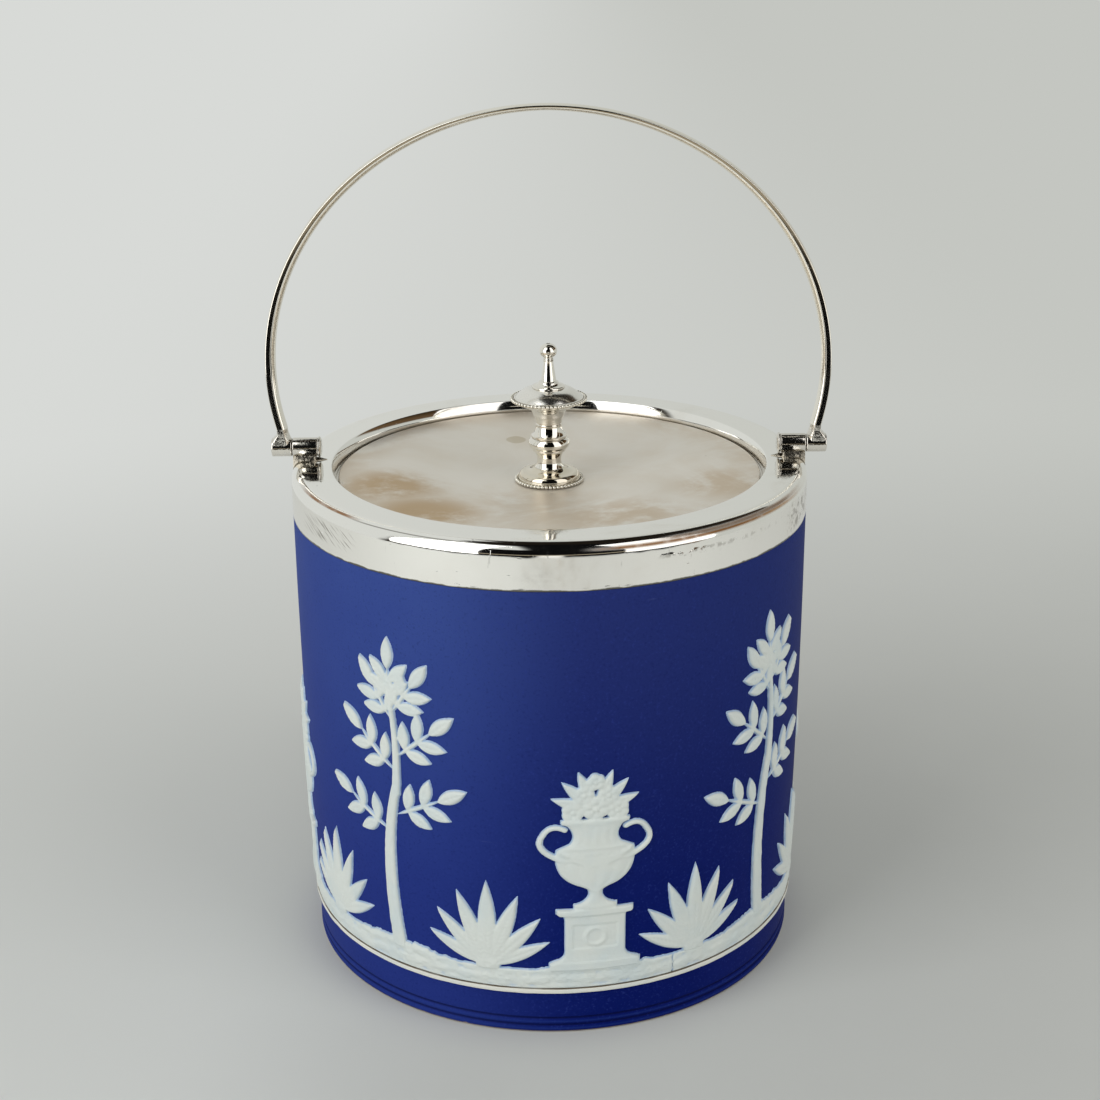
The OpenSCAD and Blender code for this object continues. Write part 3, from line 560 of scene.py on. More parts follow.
class Carving:
    def __init__(self, half_w, low, high, step=STEP):
        self.u, self.v = np.meshgrid(np.arange(-half_w, half_w + step, step), np.arange(low, high + step, step))
        self.h = np.full(self.u.shape, BARE)

    def put(self, height, d, where=True):
        """Lays a height over the carving where the depth d inside an outline allows it."""
        self.h = np.maximum(self.h, np.where((d > SIDE) & where, height, BARE))

    def local(self, x0, y0, angle):
        a = math.radians(angle)
        du, dv = self.u - x0, self.v - y0
        return du * math.cos(a) + dv * math.sin(a), -du * math.sin(a) + dv * math.cos(a)

    def leaf(self, x0, y0, angle, length, w, top=1.0, veins=True):
        x, y = self.local(x0, y0, angle)
        ratio = np.clip(y / length, 0, 1)
        t = (-0.9 + np.sqrt(0.81 + 0.4 * ratio)) / 0.2
        half = 2 * t * (1 - t) * w
        d = np.where((y > 0) & (y < length), half - np.abs(x), -1.0)
        s = np.clip(np.abs(x) / np.maximum(half, 1e-6), 0, 1)
        h = rise(d) + (top - 0.5) * dome(s * s) * smooth(d, 0, 0.7)
        if veins:
            rib = 0.16 * bell(x, 0.20) * smooth(ratio, 0.0, 0.1) * smooth(1 - ratio, 0.05, 0.3)
            side = 0.05 * np.cos(2 * math.pi * (y - 0.9 * np.abs(x)) / 1.25) * smooth(d, 0.1, 0.5)
            h = h - rib + side
        self.put(h, d)

    def band(self, p0, p1, p2, w0, w1, top=0.95):
        path = np.array(curve(p0, p1, p2, 18))
        best, width = np.full(self.u.shape, 99.0), np.full(self.u.shape, w0)
        for i in range(len(path) - 1):
            a, b = path[i], path[i + 1]
            ab = b - a
            f = np.clip(((self.u - a[0]) * ab[0] + (self.v - a[1]) * ab[1]) / (ab @ ab), 0, 1)
            dist = np.hypot(self.u - a[0] - f * ab[0], self.v - a[1] - f * ab[1])
            w = w0 + (w1 - w0) * (i + f) / (len(path) - 1)
            closer = dist < best
            best, width = np.where(closer, dist, best), np.where(closer, w, width)
        d = width - best
        s = np.clip(best / width, 0, 1)
        h = rise(d) + (top - 0.5) * dome(s * s)
        self.put(h, d)

    def flower(self, x0, y0, r0, petals, top=1.1, turn=0.0):
        x, y = self.u - x0, self.v - y0
        r, a = np.hypot(x, y), np.arctan2(y, x) + turn
        lobe = np.abs(np.cos(petals * a / 2))
        edge = r0 * (0.90 + 0.12 * lobe)
        d = edge - r
        s = np.clip(r / edge, 0, 1)
        h = rise(d) + (top - 0.5) * dome(s ** 2.4) * (0.62 + 0.38 * lobe ** 0.7)
        h = h - 0.30 * np.exp(-((r / (0.42 * r0)) ** 4)) + 0.34 * np.exp(-((r / (0.22 * r0)) ** 4))
        self.put(h, d)

    def ball(self, x0, y0, r0, top=1.0):
        r = np.hypot(self.u - x0, self.v - y0)
        d = r0 - r
        self.put(rise(d) + (top - 0.5) * dome((r / r0) ** 2), d)

    def add(self, height, inside=0.25):
        """Adds to the height where something is carved already."""
        self.h = np.where(self.h > inside, self.h + height, self.h)

    def finish(self, amount, seed):
        """Softens the carving as a mould does, roughens it a little, and keeps it within its thickness."""
        for _ in range(2):
            h = self.h
            mean = (np.roll(h, 1, 0) + np.roll(h, -1, 0) + np.roll(h, 1, 1) + np.roll(h, -1, 1)) / 4
            self.h = h + (mean - h) * np.where(h > 0.3, 0.45, 0.06)
        self.add(amount * noise(self.u, self.v, 1.3, seed) + amount * noise(self.u, self.v, 0.6, seed + 1))
        self.h = np.minimum(self.h, SPRIG_T - 0.02)


def wrap(name, carving, centres, node, material, base_z, closed=False):
    """Bends a carving round the jar at each centre, and closes it with a back inside the wall."""
    cols = carving.h.shape[1]
    on = carving.h > 0
    cell = on[:-1, :-1] | on[1:, :-1] | on[:-1, 1:] | on[1:, 1:]
    if closed:
        cell = np.hstack([cell, (on[:-1, -1:] | on[1:, -1:] | on[:-1, :1] | on[1:, :1])])
    r_i, c_i = np.nonzero(cell)
    c_n = (c_i + 1) % cols
    quads = np.stack([r_i * cols + c_i, r_i * cols + c_n, (r_i + 1) * cols + c_n, (r_i + 1) * cols + c_i], 1)
    used, index = np.unique(quads, return_inverse=True)
    quads = index.reshape(-1, 4)
    n = len(used)
    u, v = carving.u.ravel()[used], carving.v.ravel()[used]
    front = np.maximum(carving.h, -SIDE_SUNK).ravel()[used]
    edges = np.concatenate([quads[:, [0, 1]], quads[:, [1, 2]], quads[:, [2, 3]], quads[:, [3, 0]]])
    keys = np.sort(edges, 1) @ np.array([n, 1])
    _, first, counts = np.unique(keys, return_index=True, return_counts=True)
    rim = edges[first[counts == 1]]
    walls = np.stack([rim[:, 1], rim[:, 0], rim[:, 0] + n, rim[:, 1] + n], 1)
    faces = np.concatenate([quads, quads[:, ::-1] + n, walls])
    points, all_faces, thick = [], [], []
    z = v + base_z
    wall = wall_r(z)
    for centre in centres:
        angle = math.radians(centre) + (u / JAR_R if closed else np.arcsin(np.clip(u / wall, -1, 1)))
        all_faces.append(faces + n * len(points))
        for r in (wall + front, wall - BACK_SUNK):
            points.append(np.stack([r * np.cos(angle), r * np.sin(angle), z], 1))
        thick += [np.clip(front / SPRIG_T, 0, 1), np.zeros(n)]
    return add_piece(name, np.concatenate(points), np.concatenate(all_faces).tolist(), material, "jar",
                     [node], 70.0, np.concatenate(thick))


def mound(u, w):
    t = (u / w + 1) / 2
    return np.where(np.abs(u) < w, 2 * t * (1 - t) * 2 * MOUND_H, 0.0)


def half_width(v, outline):
    ys = np.array([p[1] for p in outline])
    xs = np.array([p[0] for p in outline])
    keep = np.concatenate([[True], np.diff(ys) > 1e-6])
    return np.interp(v, ys[keep], xs[keep], left=-1, right=-1)


def urn_carving():
    c = Carving(17, -0.6, 56.5)
    u, v = c.u, c.v
    # flowers and leaves behind the rim
    for i, a in enumerate((-72, 72, -46, 46, -22, 22)):
        c.leaf(0, 43.4, -a, 11.4, 3.2, 0.78 + 0.03 * (i % 3))
    blooms = [(-5.4, 43.2, 2.9), (5.4, 43.2, 2.9), (-2.9, 47.6, 2.7), (3.1, 47.4, 2.7), (0, 51, 2.3), (0, 44, 3.4)]
    for i, (x0, y0, r0) in enumerate(blooms):
        c.flower(x0, y0, r0, 5 + i % 2, 0.95 + 0.04 * i, 0.5 * i)
    for s in (-1, 1):
        c.band((s * 8.6, 30.6), (s * 15.6, 33.4), (s * 12.4, 37.4), 0.85, 0.75, 0.9)
        c.band((s * 12.6, 37.2), (s * 10.8, 40.4), (s * 7.4, 38.6), 0.75, 0.75, 0.9)
    body = [(5.4, 16.8), (5.4, 18.2)] + curve((4.2, 18.4), (1.2, 19.6), (1.9, 22), 8)
    body += curve((3.4, 22.8), (10.8, 25), (9.6, 33.2), 24) + curve((6.4, 34.8), (4.6, 37), (7, 39.6), 12)
    body += [(8.4, 40), (8.4, 41.4)]
    w = half_width(v, body)
    d = w - np.abs(u)
    phi = np.arcsin(np.clip(u / np.maximum(w, 0.1), -1, 1))
    round_body = 0.62 * np.cos(phi) ** 1.2
    flutes = 0.11 * (np.abs(np.sin(phi * 7)) - 0.5) * smooth(v, 22.8, 23.8) * smooth(29.8 - v, 0, 0.5)
    neck = 0.05 * np.cos(phi * 16) * smooth(v, 34.6, 35.4) * smooth(39.2 - v, 0, 0.8)
    rings = sum(a * bell(v - y0, b) for y0, a, b in
                ((30.4, 0.14, 0.35), (33.6, 0.12, 0.3), (40.7, 0.16, 0.55), (17.5, 0.10, 0.5), (21.9, 0.14, 0.35)))
    beads = 0.10 * np.abs(np.cos(phi * 12)) * bell(v - 32.0, 0.55)
    h = rise(d) + round_body * smooth(d, 0, 1.2) + flutes + neck + rings + beads
    c.put(h, d, (v > 16.8) & (v < 41.4))
    # drapery across the belly
    for drop, lift in ((2.6, 0.16), (3.8, 0.14)):
        line = 33.0 - drop * (1 - (u / 8.8) ** 2)
        c.add(lift * bell(v - line, 0.5) * (np.abs(u) < 8.8), 0.5)
    # pedestal
    plinth = [(11, -0.6), (11, 1.6), (10, 2.2)] + curve((9.6, 2.4), (7.6, 2.8), (7.4, 4.6), 6) + [(7.4, 13.6)]
    plinth += curve((7.6, 14.8), (8.8, 14.8), (9.2, 15.4), 6) + [(9.2, 16.8)]
    w = half_width(v, plinth)
    d = np.minimum(w - np.abs(u), 16.9 - v)
    step = 0.36 + 0.26 * smooth(v, 14.9, 15.4) + 0.26 * smooth(2.2 - v, 0, 0.5) + 0.12 * smooth(w - 7.4, 0, 1.6)
    panel = np.minimum(5.6 - np.abs(u), np.minimum(v - 5.7, 12.6 - v))
    h = rise(d) + step - 0.20 * smooth(panel, 0, 0.35)
    c.put(h, d, v > -0.6)
    # wreath in the pedestal's panel
    r, a = np.hypot(u, v - 9.1), np.arctan2(v - 9.1, u)
    ring = 0.34 * bell(r - 2.35, 0.52) * (0.62 + 0.38 * np.abs(np.cos(a * 9 + 2.5 * (r - 2.3))))
    c.add(ring * (panel > 0), 0.4)
    c.finish(0.016, 11)
    return c


def tree_carving():
    k = TREE_K
    c = Carving(25 * k, -0.6, 82 * k)

    def twig(x0, y0, angle, length, lift):
        a = math.radians(angle)

        def at(f):
            return x0 - math.sin(a) * length * f, y0 + math.cos(a) * length * f

        c.leaf(x0, y0, angle, length + 2 * k, 1.3 * k, 0.72 + lift, False)
        for f, turn, size in ((0.3, 54, 7.4), (0.66, 46, 7.8)):
            for s in (-1, 1):
                c.leaf(*at(f), angle + s * turn, size * k, 3.4 * k, 0.80 + lift + 0.03 * s)
        c.leaf(*at(1.0), angle, 8.4 * k, 3.6 * k, 0.95 + lift)

    branches = [(-0.8, 30, 66, 14), (0.6, 35, -62, 13), (1.3, 46, 52, 13), (1.3, 50, -50, 12),
                (0.8, 59, 34, 9), (0.6, 61, -36, 9), (0, 63, 0, 8.6)]
    for i, (x0, y0, angle, length) in enumerate(branches):
        twig(x0 * k, y0 * k, angle, length * k, 0.035 * (i % 3))
    c.band((0, -1 * k), (-4 * k, 24 * k), (1 * k, 42 * k), 2.1 * k, 1.3 * k, 1.02)
    c.band((1 * k, 41 * k), (2.4 * k, 54 * k), (0, 66 * k), 1.3 * k, 0.6 * k, 0.98)
    bark = 0.09 * noise(c.u * 2.2, c.v * 0.45, 1.0, 21) + 0.05 * noise(c.u * 4, c.v * 0.8, 1.0, 22)
    c.add(bark * smooth(40 * k - c.v, 0, 4), 0.5)
    c.finish(0.014, 15)
    return c


def plant_carving():
    k = PLANT_K
    c = Carving(18.5 * k, -0.6, 26.5 * k)
    for i, a in enumerate((64, -64, 43, -43, 21, -21, 0)):
        c.leaf(0, 0, -a, (25 - abs(a) * 0.11) * k, (5 - abs(a) * 0.018) * k, 0.78 + 0.045 * i)
    c.ball(0, 0.3, 3.3 * k, 1.08)
    c.add(0.10 * noise(c.u, c.v, 0.8, 31) * smooth(4 - np.hypot(c.u, c.v), 0, 2), 0.5)
    c.finish(0.014, 19)
    return c


def ground_carving(urns, trees):
    length = 2 * math.pi * JAR_R
    c = Carving(1, 0, 1)
    cols = int(length / 0.30)
    us = np.arange(cols) * length / cols
    c.u, c.v = np.meshgrid(us, np.arange(FILLET_TOP - GROUND_Z, MOUND_H + 0.7, STEP))
    top = np.zeros(cols)
    for centres, w in ((urns, URN_MOUND_W), (trees, TREE_MOUND_W)):
        for a in centres:
            du = (us - math.radians(a) * JAR_R + length / 2) % length - length / 2
            top = np.maximum(top, mound(du, w))
    turn = us / JAR_R
    rough = 0.34 * ring_noise(turn, us * 0, 260, 1, 41) + 0.22 * ring_noise(turn, us * 0, 750, 1, 42)
    top = top + (rough - 0.36) * smooth(top, -0.5, 0.9)
    d = np.minimum(top[None, :] - c.v, c.v - (FILLET_TOP - GROUND_Z) + 0.16)
    turn = c.u / JAR_R
    lumps = 0.16 * ring_noise(turn, c.v, 160, 1.6, 43) + 0.10 * ring_noise(turn, c.v, 460, 0.65, 44)
    banks = 0.10 * np.cos((c.v + 0.6 * ring_noise(turn, c.v, 83, 5.0, 46)) * 2.1)
    h = rise(d, 0.58, 0.3) + 0.16 * smooth(d, 0.2, 1.6) + (lumps + banks) * smooth(d, 0.1, 1.0)
    seam = math.radians(-63) * JAR_R % length
    gap = np.abs((c.u - seam + 0.12 * np.sin(c.v * 3)))
    h = h - 0.5 * bell(gap, 0.16) * smooth(0.8 - c.v, 0, 0.6)
    c.h = np.clip(np.where(d > SIDE, h, BARE), BARE, GROUND_T - 0.02)
    return c


def fillet_piece():
    z0, z1, t = FILLET_Z, FILLET_TOP, GROUND_T
    r0, r1 = float(wall_r(z0)), float(wall_r(z1))
    profile = [(r0 - 0.3, z0), (r0 + t * 0.86, z0), (r0 + t * 0.97, z0 + 0.5), (r1 + t * 0.90, z1 - 0.1),
               (r1 - 0.3, z1)]

    def hand(a, r, z):
        if r > r0:
            r += 0.05 * float(ring_noise(a, 0, 168, 1, 51)) - 0.03
            z += 0.06 * float(ring_noise(a, z, 94, 0.22, 52)) * (1 if z > 12 else 0.4)
        return r, z

    points, faces = spun(soften(profile, 0.22), 720, hand)
    thick = [0.9 if math.hypot(p[0], p[1]) > r0 + 0.15 else 0.3 for p in points]
    add_piece("relief_fillet_band", points, faces, CREAM, "jar", ["relief_fillet"], 50.0, thick)


def relief_pieces():
    sector = 360.0 / SPRIGS
    urns = [FIRST_URN + sector * i for i in range(SPRIGS)]
    trees = [a + sector / 2 for a in urns]
    plants = [a + s * PLANT_PLACE * sector for a in urns for s in (-1, 1)]
    wrap("relief_urn_sprigs", urn_carving(), urns, "relief_urns", WHITE, GROUND_Z)
    wrap("relief_tree_sprigs", tree_carving(), trees, "relief_trees", WHITE, GROUND_Z)
    wrap("relief_plant_sprigs", plant_carving(), plants, "relief_plants", WHITE, GROUND_Z)
    wrap("relief_ground_strip", ground_carving(urns, trees), [0], "relief_ground", WHITE, GROUND_Z, True)
    fillet_piece()


# ---- Collar and seat ----
def collar_outline(o, z0, z_lip):
    """The collar's outer face, or a face a sheet's thickness inside it. The lip slopes inwards under a crisp edge."""
    outer = [(JAR_R - o, z) for z in np.linspace(z0, COLLAR_TOP - SHOULDER_R, 14)[:-1]]
    bend = arc((JAR_R - SHOULDER_R, COLLAR_TOP - SHOULDER_R), SHOULDER_R - o, 0, 90, 20)
    edge = (LIP_R + LIP_FLARE + o * 0.8, LIP_TOP - o)
    flat = [tuple(a + (b - a) * i / 10 for a, b in zip(bend[-1], edge)) for i in range(1, 11)]
    slope = curve(edge, (LIP_R + o, LIP_TOP - 1.6 - o * 0.5), (LIP_R + o, z_lip + 0.7), 10)[1:]
    return outer + bend + flat + slope + [(LIP_R + o, z_lip)]


def collar_piece():
    outside = collar_outline(0, LEDGE, LIP_BOTTOM)
    inside = collar_outline(SHEET, LEDGE, LIP_BOTTOM)
    profile = soften(outside + inside[::-1], 0.16)
    rng = np.random.default_rng(8)
    # a row of small knocks under the shoulder, larger ones at the right end and a few at the left
    dents = [(math.radians(-90 + a), z, w, d) for a, z, w, d in
             zip(rng.uniform(22, 62, 24), rng.normal(124.5, 0.35, 24), rng.uniform(0.35, 0.65, 24),
                 rng.uniform(0.03, 0.07, 24))]
    large = [(-20, 124.5, 1.2, 0.20), (-17, 122.6, 1.0, 0.24), (-15, 120.6, 1.0, 0.22), (-13, 124.0, 0.9, 0.20),
             (-11, 121.8, 0.9, 0.22), (-18, 119.9, 0.7, 0.14), (-23, 121.0, 1.0, 0.14), (-9, 119.8, 0.9, 0.16),
             (-149, 122.2, 1.2, 0.12), (-146, 123.4, 0.7, 0.13), (-154, 121, 0.8, 0.13), (-143, 124.4, 0.6, 0.11)]
    dents += [(math.radians(a), z, w, d) for a, z, w, d in large]

    def beaten(a, r, z):
        if r > JAR_R - 1.2 and z < COLLAR_TOP - 0.6:
            r += float(0.018 * ring_noise(a, z, 37, 7.0, 61) + 0.008 * ring_noise(a, z, 160, 2.6, 62))
            ragged = float(0.02 + 0.025 * ring_noise(a, 0, 150, 1, 63) + 0.012 * ring_noise(a, 0, 420, 1, 64))
            r += bell(z - LEDGE, 0.45) * ragged
            for da, dz, w, depth in dents:
                u = ((a - da + math.pi) % (2 * math.pi) - math.pi) * JAR_R
                if abs(u) < 4 * w:
                    r -= depth * bell(math.hypot(u, z - dz), w)
        elif z > LIP_TOP - 0.2:
            z += 0.012 * float(ring_noise(a, r, 31, 6.0, 66))
        return min(r, JAR_R + 0.3), z

    points, faces = spun(profile, 720, beaten)
    add_piece("collar_band", points, faces, COLLAR, "jar", ["collar"], 40.0)
    wall_in, wall_out, wall_top = LIP_R + SHEET, LIP_R + 2 * SHEET, LIP_BOTTOM + 1.45
    seat = [(SEAT_R, LIP_BOTTOM - SHEET), (wall_out, LIP_BOTTOM - SHEET), (wall_out, wall_top),
            (wall_in, wall_top), (wall_in, LIP_BOTTOM), (SEAT_R, LIP_BOTTOM)]
    turned("lid_seat", seat, "jar", CAST, ["lid_seat_ring"], 256, 0.12)


# ---- Hinges ----
def strap_section(up, w=STRAP_W):
    """Outline of the strap as (outwards, across) points: a crowned outer face, short flat edges and a rounded
    inner side. up runs from 0 at the knuckles to 1 at the top, where the strap is thinner."""
    half, c = w / 2, STRAP_CORNER
    crown = 0.22 + 0.23 * up
    edge = 1.22 - 1.02 * up
    y_c = half - 0.7 * c
    tilt = math.atan(2 * crown / y_c)
    h_c, y_0 = STRAP_OUT - crown - c * math.cos(tilt), y_c - c * math.sin(tilt)
    inner = (STRAP_IN + h_c - edge) * (1 - up) + 0.85 * up
    side = [(STRAP_OUT - crown * (i / 5) ** 2, y_c * i / 5) for i in range(6)]
    turns = [tilt + (math.pi / 2 - tilt) * i / 5 for i in range(1, 6)]
    side += [(h_c + c * math.cos(q), y_0 + c * math.sin(q)) for q in turns]
    side += [(h_c - edge * i / 4, y_0 + c) for i in range(1, 5)]
    turns = [math.pi / 2 * i / 12 for i in range(1, 13)]
    side += [(h_c - edge - inner * math.sin(q), (y_0 + c) * math.cos(q)) for q in turns]
    return side + [(h, -y) for h, y in side[-2:0:-1]]


def lug_foot(side):
    """A pointed leaf on the flange with a low ridge, and the narrow saddle under the barrel."""
    tip, end, rows, half_n = BARREL_OUT - LUG_L, BARREL_OUT, 44, 12
    outline = curve((tip, 0), (BARREL_OUT - LUG_L / 2, LUG_W / 2), (end, LUG_W / 2), 60)
    points = []
    for level in (0, 1):
        for i in range(rows + 1):
            x = tip + 0.02 + (end - tip - 0.02) * i / rows
            half = float(np.interp(x, [p[0] for p in outline], [p[1] for p in outline]))
            for j in range(-half_n, half_n + 1):
                k = j / half_n
                y = half * k
                r = min(math.hypot(x, y), JAR_R - 0.01)
                drop = max(0.0, r - (JAR_R - SHOULDER_R))
                sheet = COLLAR_TOP - SHOULDER_R + math.sqrt(max(0.0, SHOULDER_R ** 2 - drop ** 2))
                if level == 0:
                    points.append((side * x, y, sheet - 0.15))
                    continue
                ridge = 0.10 + 0.50 * float(smooth(x, tip, BARREL_IN))
                top = sheet + 0.08 + ridge * (1 - abs(k) ** 1.5)
                under = PIVOT_Z - math.sqrt(max(0.0, BARREL_R ** 2 - y * y))
                saddle = smooth(SADDLE_W / 2 + 0.5 - abs(y), 0, 0.5) * smooth(x, BARREL_IN + 0.3, BARREL_IN + 0.9)
                top += (under + 0.04 - top) * float(saddle)
                points.append((side * x, y, min(top, under + 0.04)))
    cols = 2 * half_n + 1
    base = (rows + 1) * cols
    faces = []
    for i in range(rows):
        for j in range(cols - 1):
            quad = [i * cols + j, (i + 1) * cols + j, (i + 1) * cols + j + 1, i * cols + j + 1]
            faces += [[q + base for q in quad][::side], quad[::-side]]
    rim = [j for j in range(cols)] + [i * cols + cols - 1 for i in range(1, rows + 1)]
    rim += [rows * cols + j for j in range(cols - 2, -1, -1)] + [i * cols for i in range(rows - 1, 0, -1)]
    for i, a in enumerate(rim):
        b = rim[(i + 1) % len(rim)]
        faces.append([b, a, a + base, b + base][::side])
    return points, faces


def knuckle_root(side):
    """The strap's root, which flares inwards to the whole length of the knuckle, and hardly outwards."""
    strap = strap_section(0, STRAP_ROOT_W)
    spare_in, spare_out = KNUCKLE_L / 2 - STRAP_IN - 0.06, KNUCKLE_L / 2 - STRAP_OUT - 0.06
    sections = []
    for f in np.linspace(0, 1, 23).tolist():
        z = 0.9 + (ROOT_H - 0.9) * f
        inner = STRAP_IN + spare_in * float(1 - smooth(f, 0.10, 1.0)) ** 1.3
        outer = STRAP_OUT + spare_out * (1 - smooth(f, 0.20, 0.72)) - 0.25 * bell(z - 3.6, 0.35)
        sections.append([(side * (KNUCKLE_X + h * (outer / STRAP_OUT if h > 0 else inner / STRAP_IN)), y, PIVOT_Z + z)
                         for h, y in strap])
    return tube(sections, side)


def hinge_pieces(side):
    """Lug, barrel, pin and knuckle of one hinge. side is -1 or 1."""
    tag = "left" if side < 0 else "right"
    points, faces = lug_foot(side)
    add_piece(tag + "_lug_leaf", points, faces, LUG, "jar", [tag + "_lug_foot"], 50.0)
    bore = PIN_R + PIN_GAP
    barrel = [(bore, BARREL_IN), (BARREL_R, BARREL_IN), (BARREL_R, BARREL_OUT), (bore, BARREL_OUT)]
    turned(tag + "_barrel", barrel, "jar", CAST, [tag + "_lug_barrel"], 72, 0.22, None, 40.0, side)
    k0, k1 = KNUCKLE_IN, KNUCKLE_IN + KNUCKLE_L
    pin_end, head1 = k0 + KNUCKLE_L * 0.8, BARREL_IN - HINGE_GAP
    head0 = head1 - PIN_HEAD_T
    pin = [(0, head0), (PIN_HEAD_R * 0.8, head0), (PIN_HEAD_R, head0 + 0.25), (PIN_HEAD_R, head1),
           (PIN_R, head1), (PIN_R, pin_end), (0, pin_end)]
    turned(tag + "_pin", pin, "handle", CAST, [tag + "_pivot_pin"], 72, 0.18, None, 40.0, side)
    knuckle = [(PIN_R, k0), (BARREL_R, k0), (BARREL_R, k1), (0, k1), (0, pin_end), (PIN_R, pin_end)]
    points, faces = spun(soften(knuckle, 0.35), 72)
    points, faces = join((along_x(points, side), faces), knuckle_root(side))
    add_piece(tag + "_knuckle_end", points, faces, CAST, "handle", [tag + "_knuckle"], 40.0)


# ---- Bail ----
def bail_piece():
    root = math.asin((ROOT_H - BELLY) / BAIL_B)
    bail_a = KNUCKLE_X / math.cos(root)
    rings = 480
    sections = []
    for i in range(rings + 1):
        a = root + (math.pi - 2 * root) * i / rings
        x, z = bail_a * math.cos(a), PIVOT_Z + BELLY + BAIL_B * math.sin(a)
        nx, nz = BAIL_B * math.cos(a), bail_a * math.sin(a)
        if i in (0, rings):
            nx, nz = (1.0, 0.0) if i == 0 else (-1.0, 0.0)
        norm = math.hypot(nx, nz)
        near_root = math.exp(-(z - PIVOT_Z - ROOT_H) / 3.5)
        strap = strap_section(1 - abs(2 * i / rings - 1), STRAP_W + (STRAP_ROOT_W - STRAP_W) * near_root)
        wave = 0.012 * float(noise(i * 0.2, 0, 6.0, 71)) * (1 - near_root)
        sections.append([(x + nx / norm * (h + wave), y, z + nz / norm * (h + wave)) for h, y in strap])
    points, faces = tube(sections, -1)
    add_piece("bail_strap", points, faces, STRAP, "handle", ["handle_bail"], 50.0)


# ---- Lid ----
def dish(r):
    r_in, r_out = KNOB_FOOT_R + 2 * BEAD_R + 1, SKIRT_R - SHEET - 1.5
    return DISH * float(smooth(r, r_in, r_out))


def lid_pieces():
    radii = [BORE_KNOB] + list(np.linspace(6, SKIRT_R - 2.3, 44))
    top = [(PLATE_R - 0.3, LIP_BOTTOM + PLATE_T)] + [(float(r), LID_Z + dish(r)) for r in radii[::-1]]
    under = [(float(r), LID_Z - PLATE_T + dish(r)) for r in radii]
    profile = under + [(PLATE_R, LIP_BOTTOM), (PLATE_R, LIP_BOTTOM + PLATE_T - 0.25)] + top

    def hammered(a, r, z):
        if r > 10 and z > 122:
            x, y = r * math.cos(a), r * math.sin(a)
            z += 0.035 * float(noise(x, y, 16, 81)) * float(smooth(r, 10, 16)) * float(smooth(52 - r, 0, 4))
        return r, z

    turned("lid_disc", profile, "lid", LID, ["lid_plate"], 360, 0.14, hammered)
    flat_r = SKIRT_R - SHEET - 1.5
    skirt = [(flat_r, LIP_BOTTOM - SHEET), (SKIRT_R - SHEET, LIP_BOTTOM - SHEET), (SKIRT_R - SHEET, LIP_BOTTOM - 4.5),
             (SKIRT_R, LIP_BOTTOM - 4.5), (SKIRT_R, LIP_BOTTOM), (flat_r, LIP_BOTTOM)]
    turned("lid_skirt_ring", skirt, "lid", CAST, ["lid_skirt"], 256, 0.12)


# ---- Knob ----
def knob_part(name, z, outline, node, size=0.06, material=KNOB):
    profile = [(BORE_KNOB, outline[0][1])] + outline + [(BORE_KNOB, outline[-1][1])]
    turned(name, [(r, z + h) for r, h in profile], "lid", material, [node], 160, size)


def beads(name, ring_r, z, node, count):
    """A wire ring set with small round beads, each a little different."""
    wire = [(ring_r + BEAD_R * (0.5 * math.cos(a) - 0.25), z + BEAD_R * 0.5 * math.sin(a))
            for a in np.linspace(0, 2 * math.pi, 13)[:-1]]
    parts = [spun(wire, 160)]
    rng = np.random.default_rng(91)
    for i in range(count):
        a = 2 * math.pi * i / count
        r = BEAD_R * rng.uniform(0.91, 0.96)
        turns = np.linspace(-math.pi / 2, math.pi / 2, 9)[1:-1]
        p, f = spun([(0, -r)] + [(r * math.cos(t), r * math.sin(t)) for t in turns] + [(0, r)], 14, closed=False)
        cx, cy = ring_r * math.cos(a), ring_r * math.sin(a)
        parts.append(([(x + cx, y + cy, zz + z) for x, y, zz in p], f))
    points, faces = join(*parts)
    add_piece(name, points, faces, BEADS, "lid", [node], 60.0)


